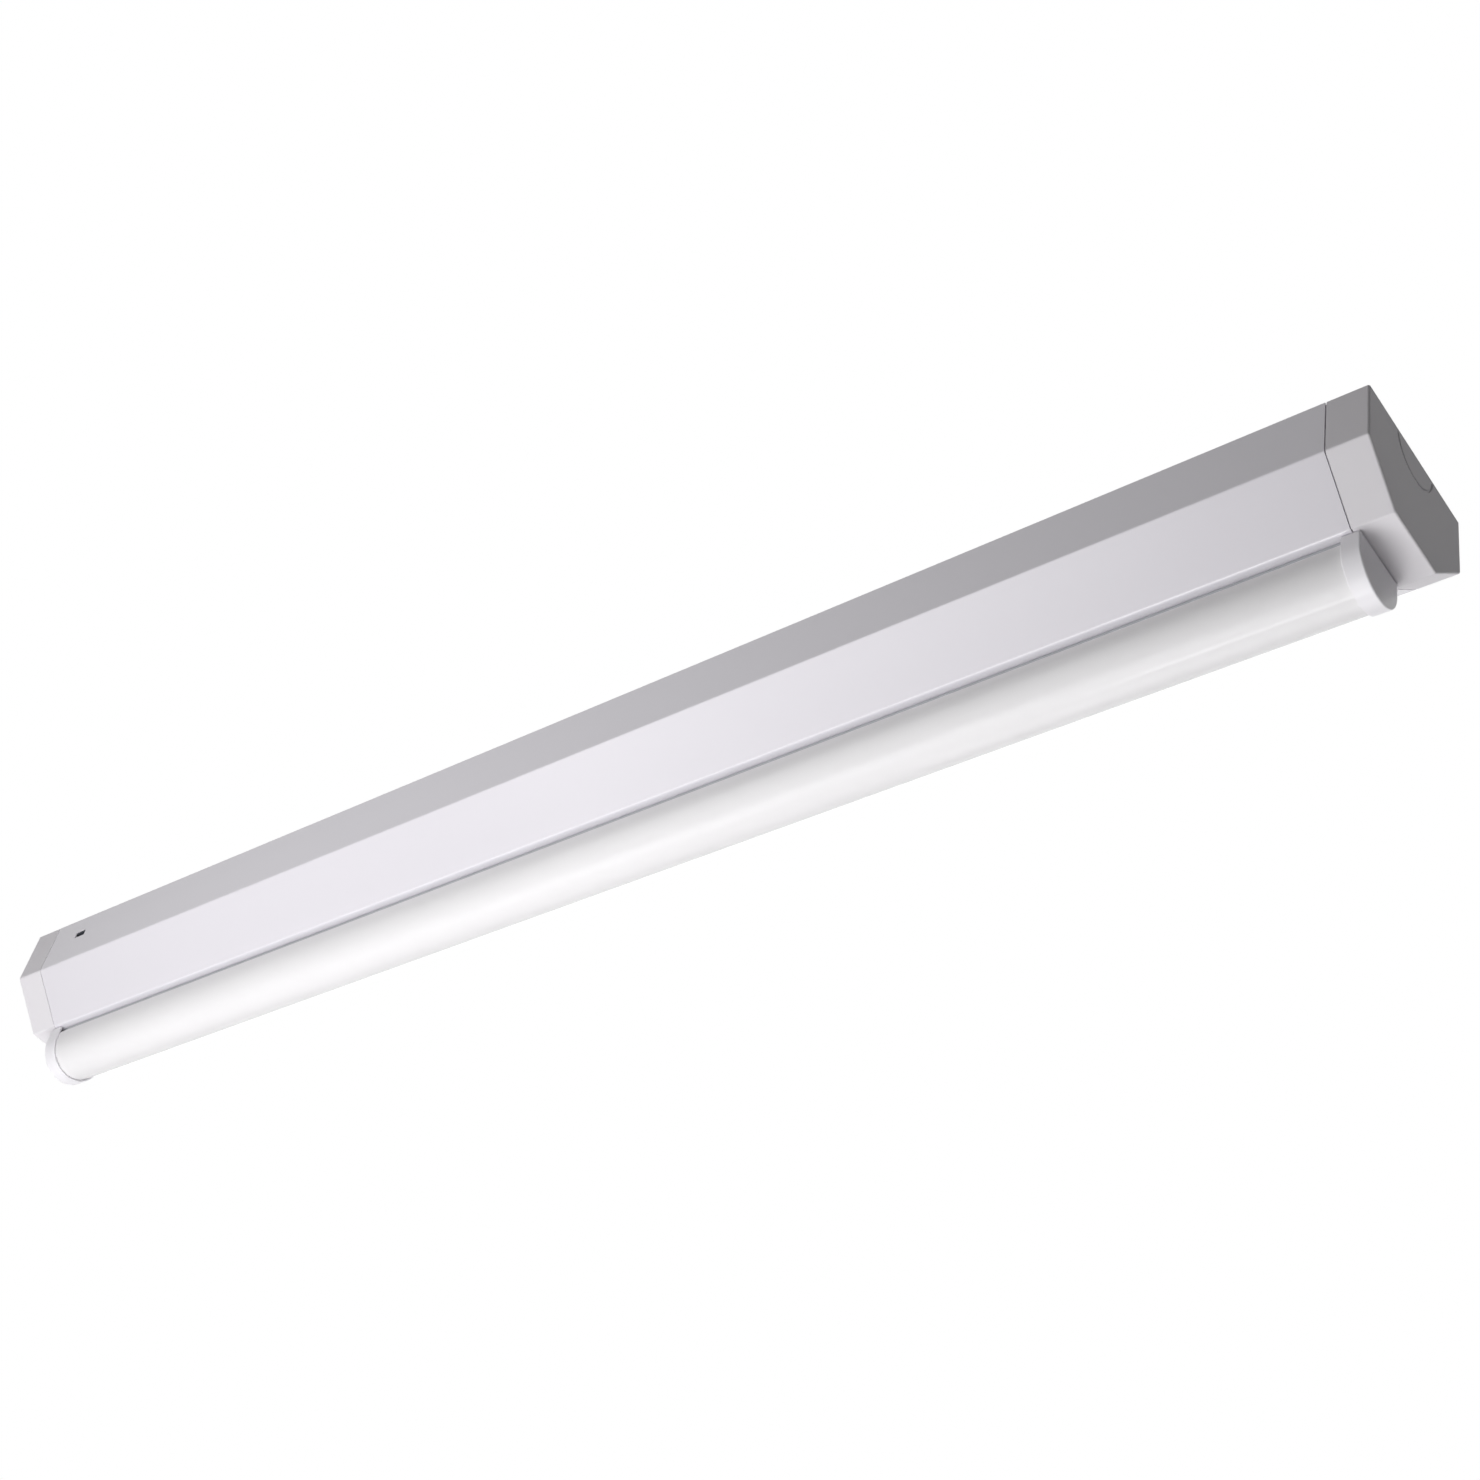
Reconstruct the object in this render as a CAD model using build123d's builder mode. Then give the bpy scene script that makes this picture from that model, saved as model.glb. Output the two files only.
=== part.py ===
from build123d import *
import math
import os

# A surface-mounted batten light, 60 cm class. X runs along the batten, Y across it and Z up.
# The origin is the middle of the face that lies on the ceiling, and all of it hangs below.

# Body section and length
body_length = 620.0
body_width = 61.0
side_height = 23.5
body_height = 41.0
underside_width = 26.5
sheet = 0.7
bend_radius = 1.2
tightest_bend = 0.3
ceiling_gap = 0.3
cut_margin = 1.0

# Window for the catch nose, one in each side near opposite ends
window_from_end = 32.5
window_drop = 9.4
window_length = 6.0
window_height = 3.0

# End caps
cap_length = 14.0
cap_wall = 2.0
cap_edge_radius = 0.8
seam_gap = 0.3
spigot_length = 10.0
spigot_wall = 1.6
spigot_clearance = 0.2
cap_rib_thickness = 1.6
cap_rib_depth = 8.0
cap_rib_offset = 18.0
knockout_radius = 12.0
knockout_groove = 0.8
knockout_depth = 0.6
knockout_bridge = 1.2

# Ceiling tray
tray_sheet = 0.8
tray_depth = 13.0
tray_bend_radius = 1.3
tray_clearance = 0.4
tray_end_gap = 2.0
fixing_spacing = 400.0
fixing_slot_length = 12.0
fixing_slot_width = 5.0
dish_radius = 13.0
dish_depth = 2.4
cable_hole_radius = 7.0

# Cable grommet
grommet_bore_radius = 5.0
grommet_flange_radius = 9.5
grommet_top = 1.8
grommet_bottom = 3.0
grommet_taper = 1.2
grommet_fit = 0.05

# Catch springs
leaf_length = 36.0
leaf_width = 5.5
leaf_sheet = 0.5
leaf_overhang = 4.0
nose_play = 0.4
nose_rest = 0.2
nose_height = 2.5
nose_land = 0.8
nose_inset = 0.25
flange_opening_margin = 0.5

# Light bar: diffuser, carrier profile and bar caps
diffuser_radius = 11.4
diffuser_depth = 17.2
diffuser_wall = 1.2
shadow_gap = 2.6
lip_thickness = 1.0
lip_reach = 1.4
lip_play = 0.2
neck_play = 0.3
foot_setback = 1.2
seat_thickness = 1.8
seat_play = 0.4
carrier_end_inset = 0.3
screw_channel_depth = 4.4
bar_cap_from_end = 11.7
bar_cap_length = 6.3
bar_cap_wall = 0.8
bar_cap_end = 2.0
bar_cap_fit = 0.05
bar_cap_gap = 0.3
bar_cap_edge_radius = 0.6

# LED board and chips
board_width = 12.0
board_thickness = 1.2
board_end_inset = 4.0
led_pitch = 16.0
led_length = 3.5
led_width = 2.8
led_height = 0.7
led_lead_gap = 8.0

# Pan head screws, all on the centre line, where the carrier has its screw channel
screw_diameter = 3.5
screw_play = 0.1
screw_head_diameter = 7.0
screw_head_height = 2.2
screw_head_rounding = 0.8
screw_bite = 3.8
bar_screw_inset = 45.2

# Driver
driver_from_end = 117.7
driver_length = 140.0
driver_side_play = 1.75
driver_base_height = 11.0
driver_lid_height = 7.0
driver_wall = 1.4
driver_corner = 2.0
driver_ear_length = 11.0
driver_ear_width = 12.0
driver_ear_thickness = 2.2
driver_ear_screw = 5.5
driver_rail_height = 3.0
driver_rail_width = 1.5
driver_board_thickness = 1.6
driver_board_play = 0.3
driver_wire_spacing = 9.0
lid_lip_depth = 1.8
lid_lip_wall = 1.0
lid_lip_play = 0.15
core_length = 15.0
core_width = 13.0
core_height = 9.4
core_window = 3.4
winding_bulge = 1.6
capacitor_diameter = 8.6
capacitor_length = 16.0
capacitor_rounding = 0.8
choke_diameter = 10.0
choke_waist = 7.0
choke_height = 8.0
choke_flange = 1.6

# Earth point and terminal block, placed one after the other from the driver's end
earth_gap = 17.0
mid_screw_gap = 24.0
ear_screw_gap = 20.0
lug_sheet = 0.8
lug_radius = 4.5
lug_barrel_start = 6.0
lug_barrel_length = 7.0
lug_barrel_radius = 2.0
washer_radius = 4.0
washer_thickness = 0.6
terminal_length = 22.0
terminal_side_play = 1.25
terminal_height = 14.5
terminal_base_height = 4.0
terminal_corner = 1.0
terminal_ear_reach = 6.0
terminal_ear_radius = 5.0
terminal_ear_thickness = 1.8
pole_pitch = 7.0
chamber_length = 18.0
chamber_width = 5.4
chamber_height = 9.5
entry_play = 0.3
entry_funnel = 0.7
contact_thickness = 1.0
contact_side_play = 0.3
clamp_sheet = 0.4
clamp_width = 4.4
clamp_tip = 6.0
clamp_shoulder = 3.6
clamp_leg = 1.5
clamp_button_gap = 0.4
clamp_bend = 0.7
clamp_wire_play = 0.15
button_length = 4.6
button_width = 4.2
button_play = 0.2
button_offset = 5.0
button_travel = 1.5
button_stand = 1.8
button_flange_height = 1.2
button_flange_reach = 0.8
button_flange_play = 0.2
button_rest_gap = 0.05
button_rounding = 0.4
button_slot_width = 0.8
button_slot_length = 3.0
button_slot_depth = 0.6
cable_from_terminal = 48.0

# Wires
mains_wire = 2.2
led_lead = 1.8
wire_play = 0.1
terminal_insert = 8.0
driver_insert = 6.0
earth_run_screw = 5.0
earth_run_barrel = 3.0
earth_bend = 24.0
mains_run_terminal = 12.0
mains_rise_run = 22.0
mains_rise = 3.5
mains_spread = 1.5
mains_run_driver = 14.0
mains_fall_run = 22.0
mains_fall = 2.0
mains_gather = 0.5
mains_bend = 40.0
lead_pitch = 2.6
lead_from_spigot = 10.0
lead_run_driver = 8.0
lead_run_clip = 12.0
lead_run_bush = 14.0
lead_sweep = 30.0
lead_bend = 6.0
lead_tail = 0.8

# Lead bush and lead clip
bush_flange_radius = 5.0
bush_flange_height = 1.5
bush_sleeve_radius = 3.4
bush_sleeve_length = 3.0
bush_bore_radius = 2.5
bush_play = 0.1
clip_from_lead = 51.0
clip_length = 9.0
clip_width = 11.0
clip_base = 1.4
clip_bridge_length = 5.0
clip_bridge_width = 7.6
clip_bridge_height = 3.0
clip_play = 0.15

# Levels and stations that several pieces share
slope_angle = math.atan2(body_height - side_height, (body_width - underside_width) / 2)
channel_end = body_length / 2 - cap_length - seam_gap
cap_shoulder = body_length / 2 - cap_length
spigot_end = cap_shoulder - spigot_length
tray_end = spigot_end - tray_end_gap
tray_half_width = body_width / 2 - sheet - tray_clearance
window_x = body_length / 2 - window_from_end
web_top = -body_height + sheet
web_corner = (sheet + max(bend_radius - sheet, tightest_bend)) * math.tan(slope_angle / 2)
web_width = underside_width - 2 * web_corner
screw_hole_radius = screw_diameter / 2 + screw_play

driver_start = driver_from_end - channel_end
driver_end = driver_start + driver_length
driver_x = (driver_start + driver_end) / 2
driver_width = web_width - 2 * driver_side_play
driver_split = web_top + driver_base_height
driver_board_bottom = web_top + driver_wall + driver_rail_height
driver_board_top = driver_board_bottom + driver_board_thickness
driver_screw_xs = (driver_start - driver_ear_screw, driver_end + driver_ear_screw)
driver_wire_side = driver_wire_spacing / 2
capacitor_offset = driver_length / 4
choke_x = driver_x + (core_length / 2 + capacitor_offset - capacitor_length / 2) / 2

earth_x = driver_end + driver_ear_length + earth_gap
mid_screw_x = earth_x + mid_screw_gap
ear_screw_x = mid_screw_x + ear_screw_gap
terminal_start = ear_screw_x + terminal_ear_reach
terminal_x = terminal_start + terminal_length / 2
terminal_width = web_width - 2 * terminal_side_play
block_bottom = web_top + terminal_base_height
block_top = block_bottom + terminal_height
chamber_ceiling = block_bottom + chamber_height
contact_top = block_bottom + contact_thickness
terminal_wire_level = contact_top + mains_wire / 2 + wire_play
button_x = terminal_x + button_offset
button_flange_top = chamber_ceiling - button_rest_gap
button_pressed_level = button_flange_top - button_flange_height - button_travel
clamp_tip_level = contact_top + mains_wire + wire_play + clamp_wire_play
clamp_top_level = button_pressed_level - clamp_button_gap - clamp_sheet
poles = {"line": -pole_pitch, "earth": 0.0, "neutral": pole_pitch}
cable_x = terminal_start + terminal_length + cable_from_terminal

bar_screw_xs = (-(channel_end - bar_screw_inset), mid_screw_x, channel_end - bar_screw_inset)
bar_end = channel_end - carrier_end_inset
seat_level = -body_height - shadow_gap - lip_thickness
seat_bottom = seat_level - seat_thickness
board_bottom = seat_bottom - board_thickness
board_end = bar_end - board_end_inset
bar_arc_level = -body_height - diffuser_depth + diffuser_radius
lip_edge = diffuser_radius - diffuser_wall - lip_reach
lead_x = -(spigot_end - lead_from_spigot)
lead_side = lead_pitch / 2
clip_x = lead_x + clip_from_lead
barrel_level = web_top + lug_barrel_radius
barrel_start = earth_x + lug_barrel_start
mains_level = driver_board_top + mains_wire / 2 + wire_play
lead_level = driver_board_top + led_lead / 2 + wire_play
clip_level = web_top + clip_base + led_lead / 2 + clip_play

os.makedirs("parts", exist_ok=True)


def section_corners(inset):
    """Corners of the body's section, drawn in by inset, from the top of one side to the other."""
    side = body_width / 2 - inset
    side_break = -side_height + inset * math.tan((math.pi / 2 - slope_angle) / 2)
    foot = underside_width / 2 - inset * math.tan(slope_angle / 2)
    foot_level = -body_height + inset
    half = [(side, -ceiling_gap), (side, side_break), (foot, foot_level)]
    return [(-y, z) for y, z in half] + half[::-1]


def fold_radius(inset):
    """Radius of the folds on the surface that lies inset inside the outer one."""
    return max(bend_radius - inset, tightest_bend)


def section_wall(outer_inset, inner_inset):
    """The open-topped wall of the body's section between two insets."""
    with BuildSketch() as wall:
        with BuildLine():
            outside = FilletPolyline(*section_corners(outer_inset), radius=fold_radius(outer_inset))
            inside = FilletPolyline(*section_corners(inner_inset), radius=fold_radius(inner_inset))
            Line(outside @ 0, inside @ 0)
            Line(outside @ 1, inside @ 1)
        make_face()
    return wall.sketch


def section_fill(inset):
    """The whole of the body's section inside an inset."""
    with BuildSketch() as fill:
        with BuildLine():
            outline = FilletPolyline(*section_corners(inset), radius=fold_radius(inset))
            Line(outline @ 1, outline @ 0)
        make_face()
    return fill.sketch


def bar_section(radius, top):
    """The light bar's U section: a half circle below, upright sides up to the level top."""
    with BuildSketch() as section:
        with BuildLine():
            arc = ThreePointArc(
                (-radius, bar_arc_level),
                (0, bar_arc_level - radius),
                (radius, bar_arc_level),
            )
            Polyline(arc @ 1, (radius, top), (-radius, top), arc @ 0)
        make_face()
    return section.sketch


def pan_head_screw(grip):
    """A screw with the underside of its head at the origin, through grip and into the carrier."""
    with BuildPart() as screw:
        Cylinder(screw_head_diameter / 2, screw_head_height, align=(Align.CENTER, Align.CENTER, Align.MIN))
        fillet(screw.edges().group_by(Axis.Z)[-1], screw_head_rounding)
        Cylinder(screw_diameter / 2, grip + screw_bite, align=(Align.CENTER, Align.CENTER, Align.MAX))
    return screw.part


def clamp_spring():
    """A pair of bent leaves that stand on the contact and reach over the wires from both sides."""
    with BuildPart() as clamp:
        with BuildSketch(Plane.XZ):
            with BuildLine():
                FilletPolyline(
                    (-clamp_tip, clamp_tip_level),
                    (-clamp_shoulder, clamp_top_level),
                    (-clamp_leg, clamp_top_level),
                    (-clamp_leg, contact_top),
                    radius=clamp_bend,
                )
                offset(amount=clamp_sheet, side=Side.LEFT)
            make_face()
        extrude(amount=clamp_width / 2, both=True)
        mirror(about=Plane.YZ)
    return clamp.part


# Ceiling tray: a shallow channel, web up, screwed to the ceiling
with BuildPart() as ceiling_tray:
    with BuildSketch(Plane.YZ.offset(-tray_end)):
        with BuildLine():
            tray_inner = tray_half_width - tray_sheet
            outside = FilletPolyline(
                (-tray_half_width, -tray_depth),
                (-tray_half_width, 0),
                (tray_half_width, 0),
                (tray_half_width, -tray_depth),
                radius=tray_bend_radius,
            )
            inside = FilletPolyline(
                (-tray_inner, -tray_depth),
                (-tray_inner, -tray_sheet),
                (tray_inner, -tray_sheet),
                (tray_inner, -tray_depth),
                radius=tray_bend_radius - tray_sheet,
            )
            Line(outside @ 0, inside @ 0)
            Line(outside @ 1, inside @ 1)
        make_face()
    extrude(amount=2 * tray_end)
    # Pressed dish, so that the grommet stays below the ceiling
    with Locations((cable_x, 0, 0)):
        Cylinder(
            dish_radius + tray_sheet,
            dish_depth + tray_sheet,
            align=(Align.CENTER, Align.CENTER, Align.MAX),
        )
        Cylinder(dish_radius, dish_depth, align=(Align.CENTER, Align.CENTER, Align.MAX), mode=Mode.SUBTRACT)
        Hole(cable_hole_radius)
    with BuildSketch(Plane.XY):
        with GridLocations(fixing_spacing, 0, 2, 1):
            SlotOverall(fixing_slot_length, fixing_slot_width)
    extrude(amount=-tray_sheet, mode=Mode.SUBTRACT)
    # Openings in the flanges for the catch noses
    with Locations((-window_x, -tray_half_width, -window_drop), (window_x, tray_half_width, -window_drop)):
        Box(
            window_length + 2 * flange_opening_margin,
            2 * (tray_sheet + cut_margin),
            window_height + 2 * flange_opening_margin,
            mode=Mode.SUBTRACT,
        )
ceiling_tray.part.label = "ceiling_tray"
export_step(ceiling_tray.part, "parts/ceiling_tray.step")

# Rubber grommet, gripping the floor of the dish
with BuildPart() as cable_grommet:
    dish_floor = -dish_depth
    dish_underside = dish_floor - tray_sheet
    grommet_waist = cable_hole_radius - grommet_fit
    with BuildSketch(Plane.XZ):
        with BuildLine():
            Polyline(
                (cable_x + grommet_bore_radius, dish_floor + grommet_top),
                (cable_x + grommet_flange_radius, dish_floor + grommet_top),
                (cable_x + grommet_flange_radius, dish_floor),
                (cable_x + grommet_waist, dish_floor),
                (cable_x + grommet_waist, dish_underside),
                (cable_x + grommet_flange_radius, dish_underside),
                (cable_x + grommet_flange_radius - grommet_taper, dish_underside - grommet_bottom),
                (cable_x + grommet_bore_radius, dish_underside - grommet_bottom),
                close=True,
            )
        make_face()
    revolve(axis=Axis((cable_x, 0, 0), (0, 0, 1)))
cable_grommet.part.label = "cable_grommet"
export_step(cable_grommet.part, "parts/cable_grommet.step")

# Catch springs: a leaf on the inside of each flange with a ramped nose that stands in the window
with BuildPart() as catch_springs:
    leaf_face = -(tray_half_width - tray_sheet)
    nose_top = -window_drop + window_height / 2 - nose_rest
    nose_tip = -(body_width / 2 - nose_inset)
    nose_length = window_length - 2 * nose_play
    with Locations((-window_x - leaf_overhang, leaf_face, -window_drop)):
        Box(leaf_length, leaf_sheet, leaf_width, align=(Align.MIN, Align.MIN, Align.CENTER))
    with BuildSketch(Plane.YZ.offset(-window_x - nose_length / 2)):
        with BuildLine():
            Polyline(
                (leaf_face, nose_top),
                (nose_tip, nose_top),
                (nose_tip, nose_top - nose_land),
                (leaf_face, nose_top - nose_height),
                close=True,
            )
        make_face()
    extrude(amount=nose_length)
    add(catch_springs.part, rotation=(0, 0, 180))
catch_springs.part.label = "catch_springs"
export_step(catch_springs.part, "parts/catch_springs.step")

# Housing: one folded sheet, open at the top
with BuildPart() as housing_channel:
    with BuildSketch(Plane.YZ.offset(-channel_end)):
        add(section_wall(0, sheet))
    extrude(amount=2 * channel_end)
    with Locations(
        (-window_x, -body_width / 2, -window_drop),
        (window_x, body_width / 2, -window_drop),
    ):
        Box(window_length, 2 * (sheet + cut_margin), window_height, mode=Mode.SUBTRACT)
    with Locations(*[(x, 0, web_top) for x in (*bar_screw_xs, *driver_screw_xs, earth_x, ear_screw_x)]):
        Hole(screw_hole_radius)
    with Locations((lead_x, 0, web_top)):
        Hole(bush_sleeve_radius + bush_play)
housing_channel.part.label = "housing_channel"
export_step(housing_channel.part, "parts/housing_channel.step")

# End caps: a moulded cup, flush with the housing, with a spigot inside its end
with BuildPart() as end_cap_right:
    spigot_inset = sheet + spigot_clearance
    end_wall = body_length / 2 - cap_wall
    with BuildSketch(Plane.YZ.offset(cap_shoulder)):
        add(section_wall(0, cap_wall))
    extrude(amount=cap_length)
    with BuildSketch(Plane.YZ.offset(end_wall)):
        add(section_fill(0))
    extrude(amount=cap_wall)
    face_edges = end_cap_right.faces().sort_by(Axis.X)[-1].outer_wire().edges()
    fillet(face_edges.sort_by(Axis.Z)[:-1], cap_edge_radius)
    with BuildSketch(Plane.YZ.offset(spigot_end)):
        add(section_wall(spigot_inset, spigot_inset + spigot_wall))
    extrude(amount=end_wall - spigot_end)
    with BuildSketch(Plane.YZ.offset(end_wall)):
        add(section_fill(cap_wall))
        with Locations((-cap_rib_offset, -body_height / 2), (cap_rib_offset, -body_height / 2)):
            Rectangle(cap_rib_thickness, body_height, mode=Mode.INTERSECT)
    extrude(amount=-cap_rib_depth)
    # Knock-out: a half-round groove that stops short of the top edge and leaves a thin skin
    with BuildSketch(Plane.YZ.offset(body_length / 2)):
        with Locations((0, -ceiling_gap)):
            Circle(knockout_radius)
            Circle(knockout_radius - knockout_groove, mode=Mode.SUBTRACT)
        with Locations((0, -ceiling_gap - knockout_bridge)):
            Rectangle(
                2 * knockout_radius,
                knockout_radius,
                align=(Align.CENTER, Align.MAX),
                mode=Mode.INTERSECT,
            )
    extrude(amount=-knockout_depth, mode=Mode.SUBTRACT)
end_cap_right.part.label = "end_cap_right"
export_step(end_cap_right.part, "parts/end_cap_right.step")

with BuildPart() as end_cap_left:
    mirror(end_cap_right.part, about=Plane.YZ)
end_cap_left.part.label = "end_cap_left"
export_step(end_cap_left.part, "parts/end_cap_left.step")

# Carrier: an aluminium extrusion with a screw channel on top, grooves for the diffuser and a seat
with BuildPart() as carrier_profile:
    foot_half = diffuser_radius - foot_setback
    foot_bottom = -body_height - shadow_gap + lip_play
    neck_half = lip_edge - neck_play
    seat_half = diffuser_radius - diffuser_wall - seat_play
    with BuildSketch(Plane.YZ.offset(-bar_end)):
        with BuildLine():
            Polyline(
                (0, -body_height - screw_channel_depth),
                (screw_hole_radius, -body_height - screw_channel_depth),
                (screw_hole_radius, -body_height),
                (foot_half, -body_height),
                (foot_half, foot_bottom),
                (neck_half, foot_bottom),
                (neck_half, seat_level),
                (seat_half, seat_level),
                (seat_half, seat_bottom),
                (0, seat_bottom),
            )
            mirror(about=Plane.YZ)
        make_face()
    extrude(amount=2 * bar_end)
    with Locations((lead_x, 0, seat_bottom)):
        Hole(bush_sleeve_radius + bush_play)
carrier_profile.part.label = "carrier_profile"
export_step(carrier_profile.part, "parts/carrier_profile.step")

# Diffuser: an opal extrusion whose lips hook over the carrier's seat
with BuildPart() as diffuser:
    inner_half = diffuser_radius - diffuser_wall
    lip_top = -body_height - shadow_gap
    with BuildSketch(Plane.YZ.offset(-bar_end)):
        add(bar_section(diffuser_radius, lip_top))
        add(bar_section(inner_half, seat_level), mode=Mode.SUBTRACT)
        with Locations((0, lip_top)):
            Rectangle(2 * lip_edge, 2 * lip_thickness, mode=Mode.SUBTRACT)
    extrude(amount=2 * bar_end)
diffuser.part.label = "diffuser"
export_step(diffuser.part, "parts/diffuser.step")

# Bar caps: cups over the ends of the carrier and diffuser
with BuildPart() as bar_cap_right:
    bar_cap_outer_end = body_length / 2 - bar_cap_from_end
    bar_cap_radius = diffuser_radius + bar_cap_fit
    bar_cap_top = -body_height - bar_cap_gap
    with BuildSketch(Plane.YZ.offset(bar_cap_outer_end - bar_cap_length)):
        add(bar_section(bar_cap_radius + bar_cap_wall, bar_cap_top))
    extrude(amount=bar_cap_length)
    rim_edges = bar_cap_right.faces().sort_by(Axis.X)[-1].outer_wire().edges()
    fillet(rim_edges.sort_by(Axis.Z)[:-1], bar_cap_edge_radius)
    with BuildSketch(Plane.YZ.offset(bar_cap_outer_end - bar_cap_length)):
        add(bar_section(bar_cap_radius, bar_cap_top))
    extrude(amount=bar_cap_length - bar_cap_end, mode=Mode.SUBTRACT)
bar_cap_right.part.label = "bar_cap_right"
export_step(bar_cap_right.part, "parts/bar_cap_right.step")

with BuildPart() as bar_cap_left:
    mirror(bar_cap_right.part, about=Plane.YZ)
bar_cap_left.part.label = "bar_cap_left"
export_step(bar_cap_left.part, "parts/bar_cap_left.step")

# LED board under the carrier's seat, with two holes for the leads
with BuildPart() as led_board:
    with BuildSketch(Plane.XY.offset(seat_bottom)):
        Rectangle(2 * board_end, board_width)
    extrude(amount=-board_thickness)
    with Locations((lead_x, -lead_side, seat_bottom), (lead_x, lead_side, seat_bottom)):
        Hole(led_lead / 2 + wire_play)
led_board.part.label = "led_board"
export_step(led_board.part, "parts/led_board.step")

# LED chips in one row, as many as fit between the lead holes and their mirror place
with BuildPart() as led_chips:
    led_count = 1 + math.floor(2 * (abs(lead_x) - led_lead_gap) / led_pitch)
    with BuildSketch(Plane.XY.offset(board_bottom)):
        with GridLocations(led_pitch, 0, led_count, 1):
            Rectangle(led_length, led_width)
    extrude(amount=-led_height)
led_chips.part.label = "led_chips"
export_step(led_chips.part, "parts/led_chips.step")

# Screws that hold the light bar, seated on the web inside the housing
with BuildPart() as light_bar_screws:
    with Locations(*[(x, 0, web_top) for x in bar_screw_xs]):
        add(pan_head_screw(sheet))
light_bar_screws.part.label = "light_bar_screws"
export_step(light_bar_screws.part, "parts/light_bar_screws.step")

# Driver case: a base with ears and rails for the board
with BuildPart() as driver_base:
    with BuildSketch(Plane.XY.offset(web_top)):
        with Locations((driver_x, 0)):
            SlotOverall(driver_length + 2 * driver_ear_length, driver_ear_width)
    extrude(amount=driver_ear_thickness)
    with BuildSketch(Plane.XY.offset(web_top)):
        with Locations((driver_x, 0)):
            RectangleRounded(driver_length, driver_width, driver_corner)
    extrude(amount=driver_base_height)
    with BuildSketch(Plane.XY.offset(web_top + driver_wall)):
        with Locations((driver_x, 0)):
            RectangleRounded(
                driver_length - 2 * driver_wall,
                driver_width - 2 * driver_wall,
                driver_corner - driver_wall,
            )
    extrude(amount=driver_base_height, mode=Mode.SUBTRACT)
    with Locations((driver_x, 0, web_top + driver_wall)):
        with GridLocations(0, driver_width - 2 * driver_wall - driver_rail_width, 1, 2):
            Box(
                driver_length - 2 * driver_wall,
                driver_rail_width,
                driver_rail_height,
                align=(Align.CENTER, Align.CENTER, Align.MIN),
            )
    with Locations(*[(x, 0, web_top) for x in driver_screw_xs]):
        Hole(screw_hole_radius)
    # Wire holes: mains at one end, LED leads at the other
    with BuildSketch(Plane.YZ.offset(driver_end)):
        with Locations((-driver_wire_side, mains_level), (driver_wire_side, mains_level)):
            Circle(mains_wire / 2 + entry_play)
    extrude(amount=-2 * driver_wall, mode=Mode.SUBTRACT)
    with BuildSketch(Plane.YZ.offset(driver_start)):
        with Locations((-driver_wire_side, lead_level), (driver_wire_side, lead_level)):
            Circle(led_lead / 2 + entry_play)
    extrude(amount=2 * driver_wall, mode=Mode.SUBTRACT)
driver_base.part.label = "driver_base"
export_step(driver_base.part, "parts/driver_base.step")

# Driver lid, with a lip inside the base
with BuildPart() as driver_lid:
    lip_inset = driver_wall + lid_lip_play
    with BuildSketch(Plane.XY.offset(driver_split)):
        with Locations((driver_x, 0)):
            RectangleRounded(driver_length, driver_width, driver_corner)
    extrude(amount=driver_lid_height)
    fillet(driver_lid.edges().group_by(Axis.Z)[-1], driver_wall / 2)
    with BuildSketch(Plane.XY.offset(driver_split - lid_lip_depth)):
        with Locations((driver_x, 0)):
            RectangleRounded(
                driver_length - 2 * lip_inset,
                driver_width - 2 * lip_inset,
                driver_corner - driver_wall,
            )
    extrude(amount=lid_lip_depth)
    with BuildSketch(Plane.XY.offset(driver_split - lid_lip_depth)):
        with Locations((driver_x, 0)):
            Rectangle(
                driver_length - 2 * (lip_inset + lid_lip_wall),
                driver_width - 2 * (lip_inset + lid_lip_wall),
            )
    extrude(amount=lid_lip_depth + driver_lid_height - driver_wall, mode=Mode.SUBTRACT)
driver_lid.part.label = "driver_lid"
export_step(driver_lid.part, "parts/driver_lid.step")

with BuildPart() as driver_board:
    with BuildSketch(Plane.XY.offset(driver_board_bottom)):
        with Locations((driver_x, 0)):
            Rectangle(
                driver_length - 2 * (driver_wall + driver_board_play),
                driver_width - 2 * (driver_wall + driver_board_play),
            )
    extrude(amount=driver_board_thickness)
driver_board.part.label = "driver_board"
export_step(driver_board.part, "parts/driver_board.step")

# Transformer: a ferrite core with two windows and the winding that fills them
with BuildPart() as driver_transformer:
    with BuildSketch(Plane.XY.offset(driver_board_top)):
        with Locations((driver_x, 0)):
            Rectangle(core_length, core_width)
    extrude(amount=core_height)
    with BuildSketch(Plane.XY.offset(driver_board_top + core_height / 2)):
        with Locations((driver_x, 0)):
            RectangleRounded(
                core_length - core_window,
                core_width + 2 * winding_bulge,
                winding_bulge,
            )
    extrude(amount=(core_height - core_window) / 2, both=True)
driver_transformer.part.label = "driver_transformer"
export_step(driver_transformer.part, "parts/driver_transformer.step")

# Two electrolytic capacitors lying on the board, one on each side of the transformer
with BuildPart() as driver_capacitors:
    capacitor_level = driver_board_top + capacitor_diameter / 2
    with Locations((driver_x, 0, capacitor_level)):
        with GridLocations(2 * capacitor_offset, 0, 2, 1):
            Cylinder(capacitor_diameter / 2, capacitor_length, rotation=(0, 90, 0))
    fillet(driver_capacitors.edges().filter_by(GeomType.CIRCLE), capacitor_rounding)
driver_capacitors.part.label = "driver_capacitors"
export_step(driver_capacitors.part, "parts/driver_capacitors.step")

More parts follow.
